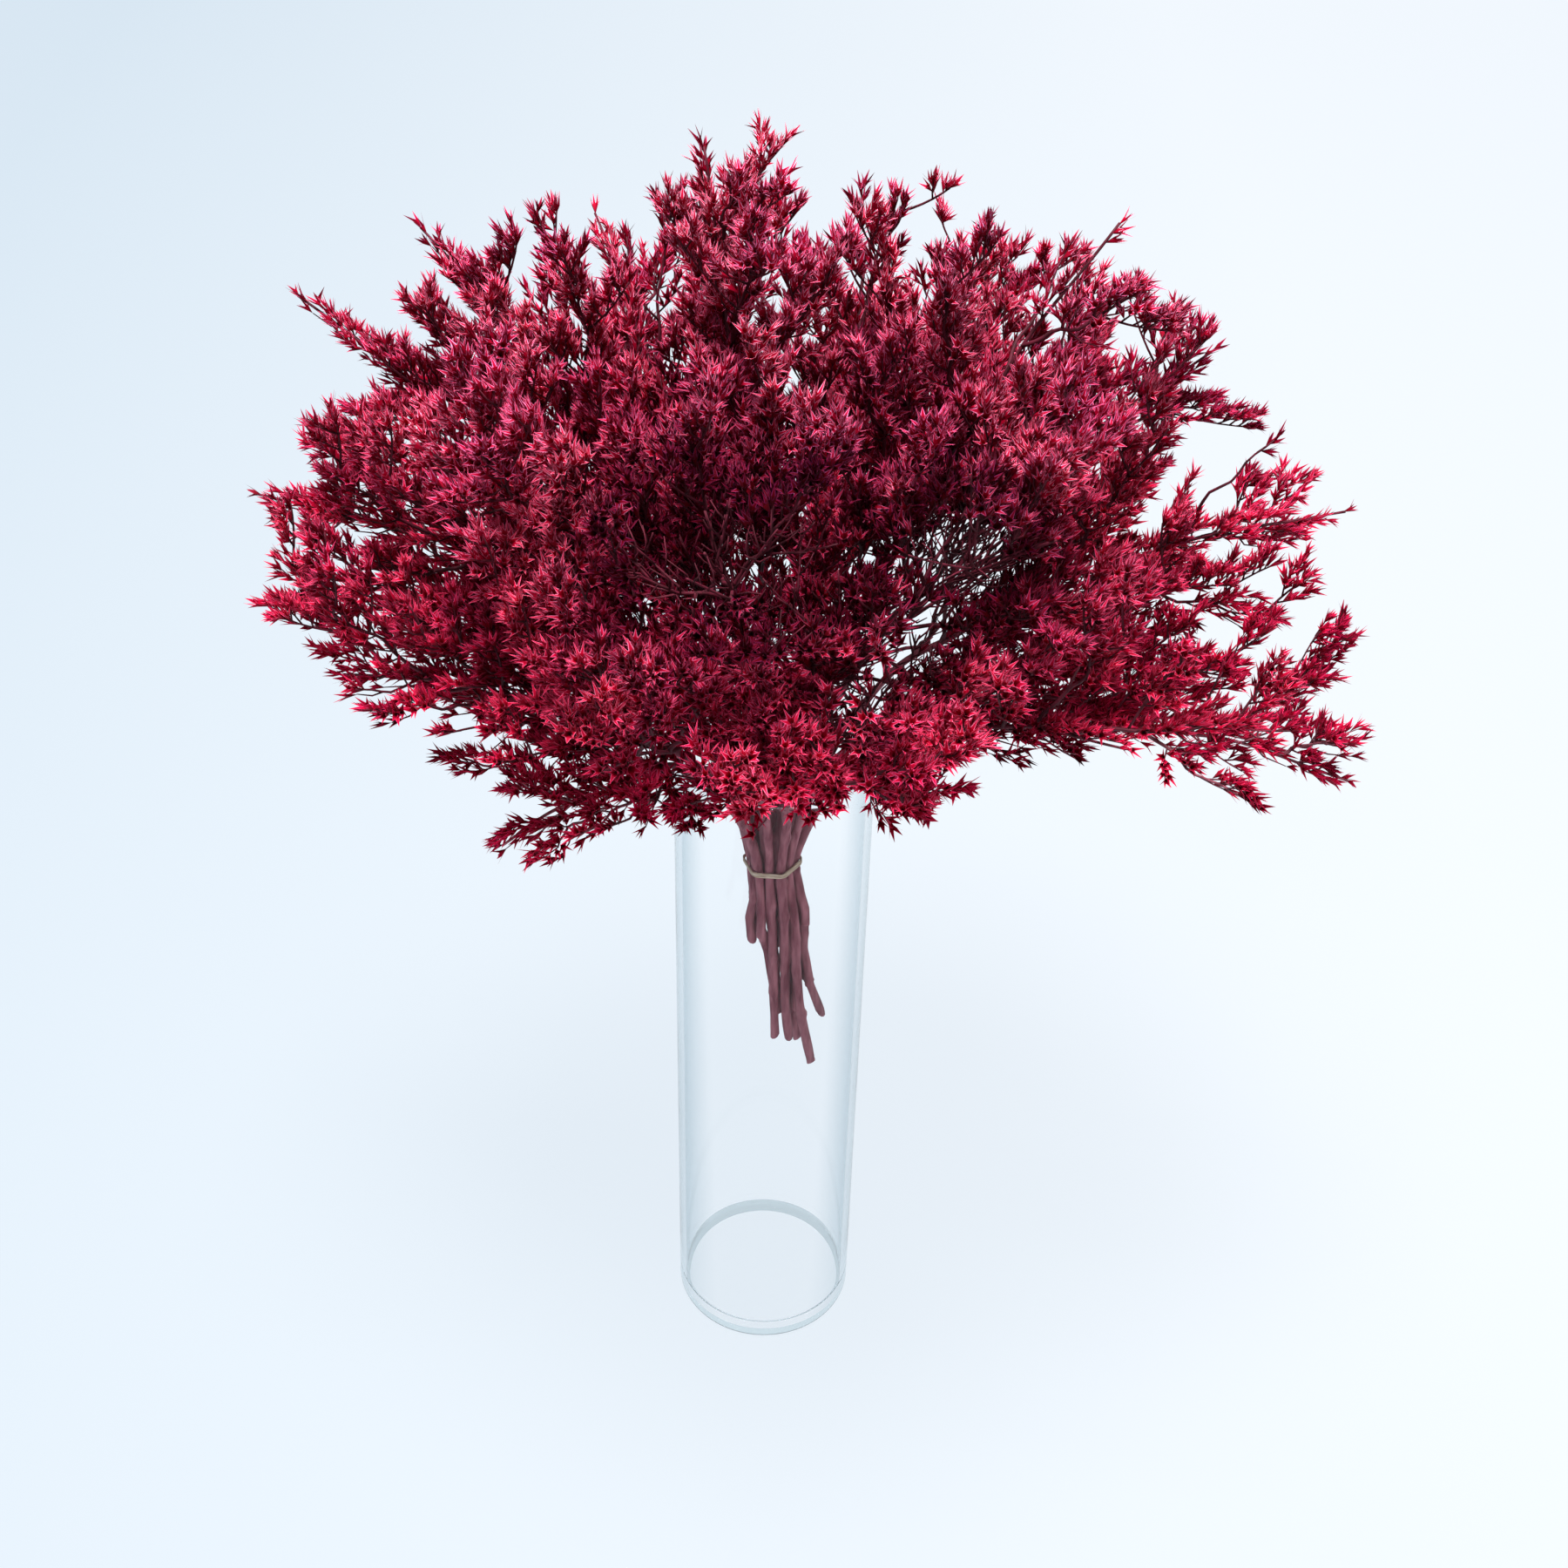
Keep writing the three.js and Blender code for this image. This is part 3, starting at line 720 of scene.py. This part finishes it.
HOLLOW_BARE = (0.6, 1)
HOLLOW_SHADE = (0.9, 1.45)
DROOPING = (-0.8, 0)
LEAST_DROOPING = 0.2
# Painted shade: flowers deep in the head and round each hollow are darkened by these shares of tone.
INNER_DEPTHS = (45, 120)
INNER_PAINTED_SHADE = 0.29
HOLLOW_PAINTED_SHADE = 0.58
LEAST_TONE = 0.08
TWIG_TONE = 0.45
FLOWER_TONE = 0.4
SPRAY_TONE = 0.15
# Painted light on the spray that sticks out at the front.
PAINTED_LIGHT_TONE = 0.15
FLOWER_WIDTHS = (0.75, 1.18)
FLOWER_LENGTHS = (0.8, 1.25)
LOBE_CURL = 0.6


def copies(faces, corners, count):
    """Triangles of a shape with so many corners, once for each of its copies in a row."""
    return (faces + corners * np.arange(count)[:, None, None]).reshape(-1, 3)


def tubes(paths, radii, sides, guides):
    """Round tubes along several paths at once, each closed at its ends by a flat or pointed fan.

    A corner is its path's point plus the radius times the cosine and sine of its angle along two
    axes square to the path, the first one turned towards the tube's guide.
    """
    count, rings = paths.shape[:2]
    heading = unit(np.gradient(paths, axis=1))[:, :, None]
    spoke = square_to(heading, guides[:, None, None], angles_round(sides)[:, None])
    rim = paths[:, :, None] + np.broadcast_to(radii, (count, rings, sides))[..., None] * spoke
    points = np.concatenate([rim.reshape(count, -1, 3), paths[:, :1], paths[:, -1:]], 1)
    return points.reshape(-1, 3), copies(closed_faces(rings, sides), rings * sides + 2, count)


def joined(parts):
    """Points and triangles of several parts as one, with the corner numbers moved on to match."""
    starts = np.cumsum([0] + [len(points) for points, _ in parts[:-1]])
    triangles = [faces + start for (_, faces), start in zip(parts, starts)]
    return np.vstack([points for points, _ in parts]), np.vstack(triangles)


def knobs(distance, own):
    """Radius of a stem's bark as a share: slow swelling plus a one-sided bud scar every so often.

    A scar is a bell curve in the distance along the stem times one in the angle round it.
    """
    scar = np.arange(1, 16)
    at = scar * SCAR_SPACING + 9 * draw(own * 31 + scar)
    face = 2 * np.pi * draw(own * 37 + scar)
    near = np.exp(-((distance[:, None] - at) / 1.7) ** 2)
    facing = np.exp(2.5 * (np.cos(angles_round(STEM_SIDES)[:, None] - face) - 1))
    swelling = 0.05 * np.sin(distance / 7 + own) + 0.03 * np.sin(distance / 2.9 + 2 * own)
    return 1 + swelling[:, None] + 0.1 * near.sum(1)[:, None] + 0.42 * near @ facing.T


def stem_path(own):
    """Path of a whole stem from its cut end to its tip, with the length along it.

    Below the band it leaves the straight line in short straight stretches, with a slight bend at
    every node, and by more the deeper it hangs.
    """
    route = routes[own]
    down = np.linspace(1, 0, FREE_STEPS)[:-1]
    straight = between((route["lower"][0], route["end"]), down[:, None])
    node = np.array([0, 0.28, 0.5, 0.72, 1])
    for axis in (0, 1):
        offset = (draw(own * 5 + axis + 11 * np.arange(5)) * 2 - 1) * node * WAVER
        straight[:, axis] += np.interp(down, node, offset)
    lower = on_curve(route["lower"], np.linspace(0, 1, NECK_STEPS)[:-1])
    path = np.vstack([straight, lower, grown(own, np.linspace(0, 1, CROWN_STEPS))])
    steps = np.linalg.norm(np.diff(path, axis=0), axis=1)
    return path, np.concatenate([[0], np.cumsum(steps)])


def stem_tube(own):
    """Bark of a stem: full radius to the rim, thinner to where the twigs start, and then a taper.

    The cut is slanted: its corners move along the stem in proportion to how far they lie to one
    side of it.
    """
    path, distance = stem_path(own)
    crown = np.linspace(0, 1, CROWN_STEPS)
    taper = np.interp(crown, (0, TWIG_SHARE, 1), (GATE_STEM_RADIUS, UPPER_STEM_RADIUS, TIP_RADIUS))
    lower = np.interp(np.arange(FREE_STEPS + NECK_STEPS - 2),
                      (FREE_STEPS, FREE_STEPS + NECK_STEPS), (STEM_RADIUS, GATE_STEM_RADIUS))
    radius = np.concatenate([lower, taper])[:, None] * knobs(distance, own)
    points, faces = tubes(path[None], radius, STEM_SIDES, routes[own]["side"][None])
    slant = CUT_SLANT * np.array([np.cos(2.4 * own), np.sin(2.4 * own), 0])
    points[:STEM_SIDES, 2] += (points[:STEM_SIDES] - path[0]) @ slant * 2
    return points, faces


def funnel():
    """Papery calyx along +Z: an apex, a ring of five notches and the tips of five narrow lobes.

    Returns its points, its triangles, how far each point lies from the apex to the lobes' tips,
    and the place of each triangle's corners on its lobe: across from 0 to 1, and up to the tip.
    """
    lobe = angles_round(5)

    def ring(radius, height, turn):
        return np.stack([radius * np.cos(lobe + turn), radius * np.sin(lobe + turn),
                         np.full(5, height)], -1)

    points = np.vstack([[[0, 0, 0]], ring(*NOTCH_PLACE, 0), ring(*TIP_PLACE, np.pi / 5)])
    this, after = np.arange(5), np.roll(np.arange(5), -1)
    notch, tip = 1, 6
    triangles = np.vstack([
        np.stack([0 * this, notch + after, notch + this], -1),
        np.stack([notch + this, notch + after, tip + this], -1),
    ])
    on_lobe = np.array([[[0.5, 0]] * 3, [[0, 0], [1, 0], [0.5, 1]]]).repeat(5, 0)
    return points, triangles, np.repeat([0, 0.5, 1], [1, 5, 5]), on_lobe


def opened(points, away, low):
    """Share of a twig's flowers that have opened, by where it stands and which way it leans.

    It falls from one to a few along the depth inside the head's ellipsoid, on twigs that lean
    downwards, and to none towards each hollow's middle line. A low spray flowers at any depth.
    """
    share = np.ones(len(points))
    if not low:
        share *= np.interp(head_depth(points), OPEN_DEPTHS, (1, LEAST_OPEN))
    share *= np.interp(away[:, 2], DROOPING, (LEAST_DROOPING, 1))
    return share * np.interp(beside_hollow(points), HOLLOW_BARE, (0, 1))


def beside_hollow(points):
    """Distance from the nearest hollow's middle line, as a share of that hollow's radius.

    The nearest point of a line from a to b is a plus (p - a).(b - a) / |b - a|^2 of the way,
    held between its ends.
    """
    apart = []
    for front, back, radius in HOLLOWS:
        way = np.subtract(back, front)
        share = np.clip((points - front) @ way / (way @ way), 0, 1)
        apart.append(np.linalg.norm(points - front - share[:, None] * way, axis=1) / radius)
    return np.min(apart, axis=0)


def kept(points, power, rng):
    """Whether a twig or sprig has stayed on: always but where the spray has been worn thin.

    There it stays with a power of a share that rises from the worn ball's middle to one at its
    skin. The twig at the end of a rod or sprig stays on all the same.
    """
    share = np.ones(len(points))
    for *middle, radius, least in WISPY:
        apart = np.linalg.norm(points - middle, axis=1)
        share = np.minimum(share, np.interp(apart, (WORN_CORE * radius, radius), (least, 1)))
    return rng.uniform(size=len(points)) < share ** power


def painted_shade(points, low):
    """Painted shade taken off the flowers' tone, deep in the head and round a hollow, where little
    light gets to them.
    """
    lost = INNER_PAINTED_SHADE * np.interp(head_depth(points), INNER_DEPTHS, (0, 1)) * (not low)
    return lost + HOLLOW_PAINTED_SHADE * np.interp(beside_hollow(points), HOLLOW_SHADE, (1, 0))


def flowers_on(curves, away, low, rng):
    """Base, the three scaled axes and the tone of every calyx: two rows on each twig's upper side.

    A calyx leaves the twig at an angle that closes towards the twig's tip, to the left and to the
    right in turn, with a small random turn of its own. Calyxes of one twig are alike in tone, before
    painted shade darkens those deep in the head and round each hollow.
    """
    count = np.clip(span(curves) / FLOWER_SPACING + 2, 3, MOST_FLOWERS)
    count = count * opened(curves[:, 2], away, low)
    count = np.floor(count + rng.uniform(size=len(count))).astype(int)
    twig = np.repeat(np.arange(len(curves)), count)
    place = np.concatenate([np.arange(n) for n in count])
    total = len(place)
    u = 0.95 - 0.75 * (place + rng.uniform(-0.3, 0.3, total)) / np.maximum(count[twig] - 1, 3)
    u = np.clip(u, 0.1, 1)
    curve = curves[twig].transpose(1, 0, 2)
    base = on_curve(curve, u)
    ahead = along_curve(curve, u)
    lift = cross_axes(ahead, 0.5 * away[twig] + lightward(base))[0]
    left = np.cross(ahead, lift)
    hand = np.where(place % 2 == 0, 1.0, -1.0) * rng.uniform(0.3, 1.2, total)
    out = unit(lift * rng.uniform(0.4, 1.0, total)[:, None] + left * hand[:, None])
    angle = np.radians(between(FLOWER_ANGLES, u) + rng.normal(0, 12, total))[:, None]
    axis = np.cos(angle) * ahead + np.sin(angle) * out
    across, up = cross_axes(axis, rng.normal(size=(total, 3)))
    width = rng.uniform(*FLOWER_WIDTHS, total)[:, None]
    length = rng.uniform(*FLOWER_LENGTHS, total)[:, None]
    axes = np.stack([across * width, up * width, axis * length], 1)
    tone_and_painted_light = TWIG_TONE * rng.uniform(size=len(curves))[twig] + FLOWER_TONE * rng.uniform(size=total)
    tone_and_painted_light = tone_and_painted_light + SPRAY_TONE * rng.uniform() + LEAST_TONE
    # Painted shade is taken off the tone deep in the head and round each hollow.
    return base, axes, np.maximum(tone_and_painted_light - painted_shade(base, low), 0)


def wood(own, rng):
    """Bark, branches, sprigs and twigs of a spray as one part, and its twigs' curves and uppers."""
    numbers = [number for number, rod in enumerate(rods) if rod["own"] == own]
    t = np.linspace(0, 1, BRANCH_STEPS)
    paths = np.stack([grown(number, t) for number in numbers[1:]])
    guides = np.stack([rods[number]["guide"] for number in numbers[1:]])
    radii = between(BRANCH_RADII, t)[:, None]
    parts = [stem_tube(own), tubes(paths, radii, BRANCH_SIDES, guides)]
    own_sprigs = np.array([curve for number, curve in sprigs if rods[number]["own"] == own])
    own_sprigs = own_sprigs[kept(own_sprigs[:, 1], 2, rng)]
    t = np.linspace(0, 1, SPRIG_STEPS)
    radii = between(SPRIG_RADII, t)[:, None]
    guides = np.cross(own_sprigs[:, 1] - own_sprigs[:, 0], own_sprigs[:, 2] - own_sprigs[:, 1])
    parts.append(tubes(points_on(own_sprigs, t), radii, SPRIG_SIDES, unit(guides)))
    bunches = [twigs_of(number, rng) for number in numbers]
    bunches += [sprig_twigs(curve, rng) for curve in own_sprigs]
    curves, away = (np.concatenate(both) for both in zip(*bunches))
    stay = kept(curves[:, 2], 1, rng)
    stay[np.cumsum([len(bunch) for bunch, _ in bunches]) - 1] = True
    curves, away = curves[stay], away[stay]
    radii = np.array(TWIG_RADII)[:, None]
    parts.append(tubes(points_on(curves, (0, 0.5, 1)), radii, TWIG_SIDES, away + 0.01))
    return joined(parts), curves, away


def spray(own, rng):
    """Everything that grows on one stem, as one mesh: the wood and its flowers.

    Every vertex carries two numbers for its finish, the second a tone with painted shade and painted
    light in it, and every corner of a flower its place on its lobe.
    """
    stalks, curves, away = wood(own, rng)
    base, axes, tone_and_painted_light = flowers_on(curves, away, own in LOW_SPRAYS, rng)
    # Painted light: the spray that sticks out at the front below the head is made lighter, as if more
    # strongly lit.
    tone_and_painted_light = tone_and_painted_light + PAINTED_LIGHT_TONE * (own == PAINTED_LIT_SPRAY)
    shape, shape_faces, shape_bloom, on_lobe = funnel()
    curl = LOBE_CURL * shape_bloom[:, None] ** 2 * rng.normal(size=(len(base), len(shape), 3))
    flowers = (base[:, None] + shape @ axes + curl).reshape(-1, 3)
    flower_faces = copies(shape_faces, len(shape), len(base))
    points, triangles = joined([stalks, (flowers, flower_faces)])
    piece = new_piece(f"statice_{own + 1:02d}", points, triangles, "dyed_statice",
                      [f"spray_{own + 1:02d}"], bark, papery)
    on_bark = np.zeros(len(points) - len(flowers))
    carried = {"bloom": np.tile(shape_bloom, len(base)), "tone_and_painted_light": np.repeat(tone_and_painted_light, len(shape))}
    for name, values in carried.items():
        layer = piece.data.attributes.new(name, "FLOAT", "POINT")
        layer.data.foreach_set("value", np.concatenate([on_bark, values]).astype(np.float32))
    in_flower = np.arange(len(triangles)) >= len(triangles) - len(flower_faces)
    on_face = np.full((len(triangles), 3, 2), (0.5, 0.0))
    on_face[in_flower] = np.tile(on_lobe, (len(base), 1, 1))
    lobes = piece.data.uv_layers.new(name="lobes")
    lobes.data.foreach_set("uv", on_face.astype(np.float32).ravel())
    piece.data.polygons.foreach_set("material_index", in_flower.astype(np.int32))
    piece.data.polygons.foreach_set("use_smooth", ~in_flower)


# Dyed bark: dull maroon in the crown and paler and mauve below the rim, with fine streaks along the
# stem and darker blotches.
BARK_DARK = (0.035, 0.001, 0.005, 1)
BARK_LIGHT = (0.12, 0.006, 0.022, 1)
LOWER_BARK_DARK = (0.2, 0.036, 0.06, 1)
LOWER_BARK_LIGHT = (0.5, 0.175, 0.22, 1)
CROWN_BARK_HEIGHTS = (0.3, 0.36)


def fade_along(tree, axis, start, end):
    """Share of the way between two places, in metres, along one axis of the object."""
    place = new_node(tree, "TexCoord").outputs["Object"]
    value = new_node(tree, "SeparateXYZ", Vector=place).outputs[axis]
    return new_node(tree, "MapRange", Value=value, From_Min=start, From_Max=end).outputs["Result"]


def new_mix(tree, share, first, second, blend="MIX"):
    """Colour mix of two colours by a share, each one a socket or a plain value."""
    mix = new_node(tree, "Mix")
    mix.data_type, mix.blend_type = "RGBA", blend
    feed(tree, mix.inputs[0], share)
    feed(tree, mix.inputs[6], first)
    feed(tree, mix.inputs[7], second)
    return mix.outputs[2]


bark, tree, shader = new_finish("dyed_bark", Roughness=0.72, Specular_IOR_Level=0.3)
streaks = new_noise(tree, scale=60, detail=4, stretch=(6, 6, 1))
upper = new_ramp(tree, streaks, [(0.35, BARK_DARK), (0.7, BARK_LIGHT)])
lower = new_ramp(tree, streaks, [(0.35, LOWER_BARK_DARK), (0.7, LOWER_BARK_LIGHT)])
in_crown = fade_along(tree, "Z", *CROWN_BARK_HEIGHTS)
feed(tree, shader.inputs["Base Color"], new_mix(tree, in_crown, lower, upper))
new_relief(tree, shader, streaks, strength=0.5, distance=0.0004)

# Papery calyx: crimson on the funnel and lobes, with painted shade that darkens it to near black-red in
# the throat, and a painted highlight along the thin edges of every lobe, pale pink high up in the bunch
# where the overhead light falls. The dye took unevenly, from flower to flower and in patches.
THROAT_SHADE = (0.045, 0.0002, 0.005, 1)
FUNNEL = (0.26, 0.001, 0.015, 1)
LOBE = (0.47, 0.004, 0.04, 1)
EDGE_HIGHLIGHT = (0.62, 0.045, 0.13, 1)
TOP_EDGE_HIGHLIGHT = (0.85, 0.42, 0.6, 1)
DEEP = (0.22, 0.07, 0.19, 1)
BRIGHT = (1.42, 1.5, 1.5, 1)
PATCH_DARK = (0.85, 0.5, 0.8, 1)
PATCH_LIGHT = (1.15, 1.1, 1.05, 1)
TOP_HIGHLIGHT_HEIGHTS = (0.37, 0.5)
NONE = (0, 0, 0, 1)
FULL = (1, 1, 1, 1)


def new_math(tree, operation, first, second=0):
    """Result of one step of arithmetic on two numbers, each one a socket or a plain value."""
    node = new_node(tree, "Math")
    node.operation = operation
    feed(tree, node.inputs[0], first)
    feed(tree, node.inputs[1], second)
    return node.outputs[0]


def read_attribute(tree, name):
    """The number of that name on every vertex."""
    node = new_node(tree, "Attribute")
    node.attribute_name = name
    return node.outputs["Fac"]


papery, tree, shader = new_finish(
    "papery_crimson", Roughness=0.6, Specular_IOR_Level=0.04, Sheen_Weight=0.04,
    Sheen_Roughness=0.4, Sheen_Tint=(1.0, 0.4, 0.55, 1),
)
bloom = read_attribute(tree, "bloom")
lobe_map = new_node(tree, "UVMap")
lobe_map.uv_map = "lobes"
on_lobe = new_node(tree, "SeparateXYZ", Vector=lobe_map.outputs["UV"])
aside = new_math(tree, "ABSOLUTE", new_math(tree, "SUBTRACT", on_lobe.outputs["X"], 0.5))
breadth = new_math(tree, "SUBTRACT", 1.001, on_lobe.outputs["Y"])
near_edge = new_math(tree, "DIVIDE", new_math(tree, "MULTIPLY", aside, 2), breadth)
# Painted highlight: the thin edges of each lobe are lighter, and paler pink higher up where the
# overhead light falls.
rim = new_ramp(tree, near_edge, [(0.55, NONE), (1, FULL)])
rim = new_math(tree, "MULTIPLY", rim, new_math(tree, "GREATER_THAN", bloom, 0.51))
edge = new_mix(tree, fade_along(tree, "Z", *TOP_HIGHLIGHT_HEIGHTS), EDGE_HIGHLIGHT, TOP_EDGE_HIGHLIGHT)
# Painted shade: the calyx darkens to near black-red towards the apex of its funnel.
petal = new_ramp(tree, bloom, [(0, THROAT_SHADE), (0.45, FUNNEL), (1, LOBE)])
petal = new_mix(tree, rim, petal, edge)
# The tone darkens and lightens the calyx: random dye, with painted shade deep in the head and round the
# hollows and painted light on the front spray.
shade = new_ramp(tree, read_attribute(tree, "tone_and_painted_light"), [(0.04, DEEP), (0.85, BRIGHT)])
petal = new_mix(tree, 1.0, petal, shade, "MULTIPLY")
clouds = new_noise(tree, scale=22, detail=2)
patch = new_ramp(tree, clouds, [(0.35, PATCH_DARK), (0.65, PATCH_LIGHT)])
feed(tree, shader.inputs["Base Color"], new_mix(tree, 1.0, petal, patch, "MULTIPLY"))

for own in range(len(STEMS)):
    spray(own, np.random.default_rng(FIRST_SEED + own))

# ----------------------------------------------------------------------
# Band. Two turns of natural raffia, flat and dry, pulled tight round the nineteen stems. It sits
# higher on the right, and the two turns cross on the left.

TIE_CLEARANCE = 0.55
TIE_TILT = np.radians(4)
BAND_POINTS = 240
STRAND_SIDES = 10
STRAND_HALVES = (0.42, 0.62)
STRAND_LIFT = 0.5
CROSSING_TURN = 0.35
STRAND_RIPPLE = 0.12
STRAND_TWIST = 0.35
TWIST_WAVES = 3
STRAW_DARK = (0.42, 0.29, 0.19, 1)
STRAW = (0.68, 0.53, 0.4, 1)
STRAW_PALE = (0.9, 0.8, 0.68, 1)


def band_path(turn):
    """Six-cornered loop round the bundle, with a strand that wanders up and down along it.

    The loop is the outline of six circles at the corners, taken as the farthest of their tangent
    lines in each direction and smoothed. The two turns change places where their sines cross.
    """
    angle = angles_round(BAND_POINTS)
    corner = LATTICE_TURN + np.arange(6) * np.pi / 3
    spread = np.cos(angle[:, None] - corner).max(1) * 2 * STEM_PITCH
    reach = spread + STEM_RADIUS + TIE_CLEARANCE + STRAND_HALVES[0]
    slope = (np.roll(reach, -1) - np.roll(reach, 1)) * BAND_POINTS / (4 * np.pi)
    x = reach * np.cos(angle) - slope * np.sin(angle)
    y = reach * np.sin(angle) + slope * np.cos(angle)
    lift = STRAND_LIFT * np.tanh(3 * np.cos(angle / 2 + CROSSING_TURN) * turn)
    z = lift + STRAND_RIPPLE * np.sin(5 * angle + turn)
    x, z = x * np.cos(TIE_TILT) - z * np.sin(TIE_TILT), x * np.sin(TIE_TILT) + z * np.cos(TIE_TILT)
    return np.stack([x, y, z + TIE_HEIGHT], -1)


def strand(turn):
    """Closed flat strand along its loop: an ellipse square to the path, twisted a little along it."""
    path = band_path(turn)
    around = angles_round(STRAND_SIDES)
    ahead = unit(np.roll(path, -1, 0) - np.roll(path, 1, 0))
    out, up = cross_axes(ahead, unit(path * [1, 1, 0]))
    along = np.arange(len(path)) * 2 * np.pi * TWIST_WAVES / len(path)
    twist = STRAND_TWIST * np.sin(along + turn)[:, None, None]
    flat = STRAND_HALVES[0] * np.cos(around)[None, :, None]
    wide = STRAND_HALVES[1] * np.sin(around)[None, :, None]
    a, b = flat * np.cos(twist) - wide * np.sin(twist), flat * np.sin(twist) + wide * np.cos(twist)
    points = path[:, None] + a * out[:, None] + b * up[:, None]
    corner = np.arange(len(path) * STRAND_SIDES).reshape(len(path), STRAND_SIDES)
    return points.reshape(-1, 3), ring_faces(np.vstack([corner, corner[:1]]))


raffia, tree, shader = new_finish("raffia", Roughness=0.8)
fibres = new_noise(tree, scale=240, detail=3, stretch=(1, 1, 9))
straw = new_ramp(tree, fibres, [(0.3, STRAW_DARK), (0.55, STRAW), (0.75, STRAW_PALE)])
feed(tree, shader.inputs["Base Color"], straw)
new_relief(tree, shader, fibres, strength=0.6, distance=0.0003)
strands = joined([strand(turn) for turn in (1, -1)])
new_piece("raffia_band", *strands, "raffia", ["tie"], raffia)

# ----------------------------------------------------------------------
# Place. A pale floor that glows with painted light and fades into a pale background, under broad soft
# studio light.

FLOOR_HALF = 6.0
FLOOR_DROP = 0.0004
PALE = (0.67, 0.78, 0.88, 1)
WHITE = (0.87, 0.925, 0.985, 1)
FLOOR_PAINT = (0.05, 0.05, 0.05, 1)
FLOOR_GLOW = 0.965
PALE_TO_WHITE = (-0.7, 0.4)
SKY = (0.88, 0.95, 1.0, 1)
SKY_STRENGTH = 0.22
LIT_POINT = np.array([0, 0, 0.36])

floor_mesh = bpy.data.meshes.new("floor")
floor_corners = [(-1, -1), (1, -1), (1, 1), (-1, 1)]
floor_mesh.from_pydata(
    [(x * FLOOR_HALF, y * FLOOR_HALF, -FLOOR_DROP) for x, y in floor_corners], [], [(0, 1, 2, 3)],
)
floor = bpy.data.objects.new("floor", floor_mesh)
bpy.context.scene.collection.objects.link(floor)
floor_finish, tree, shader = new_finish(
    "glowing_pale_floor", Base_Color=FLOOR_PAINT, Roughness=0.9, Specular_IOR_Level=0.0,
    Emission_Strength=FLOOR_GLOW,
)
# Painted light: the floor glows, bluer to the left and whiter to the right, so that it stays bright and
# shadows on it stay faint.
glow = new_ramp(tree, fade_along(tree, "X", *PALE_TO_WHITE), [(0, PALE), (1, WHITE)])
feed(tree, shader.inputs["Emission Color"], glow)
floor_mesh.materials.append(floor_finish)

scene = bpy.context.scene
world = bpy.data.worlds.new("studio")
world.use_nodes = True
background = world.node_tree.nodes["Background"]
background.inputs["Color"].default_value = SKY
background.inputs["Strength"].default_value = SKY_STRENGTH
scene.world = world
scene.view_settings.view_transform = "Standard"


def new_light(name, size, power, place):
    """Square area light that faces the lit point."""
    light = bpy.data.lights.new(name, "AREA")
    light.size, light.energy = size, power
    lamp = bpy.data.objects.new(name, light)
    lamp.location = place
    back = unit(np.array(place) - LIT_POINT)
    lamp.rotation_mode = "QUATERNION"
    lamp.rotation_quaternion = Vector(back).to_track_quat("Z", "Y")
    scene.collection.objects.link(lamp)


new_light("key_softbox", 0.8, 112, (-0.1, -0.35, 2.35))
new_light("front_softbox", 1.4, 6, (0.5, -1.9, 1.5))

# The camera stands in front and above, and looks down at the bunch.
EYE = np.array([0, -0.6539, 0.8071])
PITCH, YAW, ROLL = np.radians((38.5, 0.33, 1.48))
LENS = 50.48
SENSOR_WIDTH = 36

gaze = np.array([np.sin(YAW) * np.cos(PITCH), np.cos(YAW) * np.cos(PITCH), -np.sin(PITCH)])
level = np.array([np.cos(YAW), -np.sin(YAW), 0])
raised = np.cross(level, gaze)
right = np.cos(ROLL) * level + np.sin(ROLL) * raised
above = np.cos(ROLL) * raised - np.sin(ROLL) * level
camera = bpy.data.objects.new("camera", bpy.data.cameras.new("camera"))
camera.data.lens = LENS
camera.data.sensor_width = SENSOR_WIDTH
camera.data.clip_start = 0.01
scene.collection.objects.link(camera)
axes_and_place = np.stack([right, above, -gaze, EYE], 1)
camera.matrix_world = Matrix([*axes_and_place.tolist(), (0, 0, 0, 1)])
scene.camera = camera
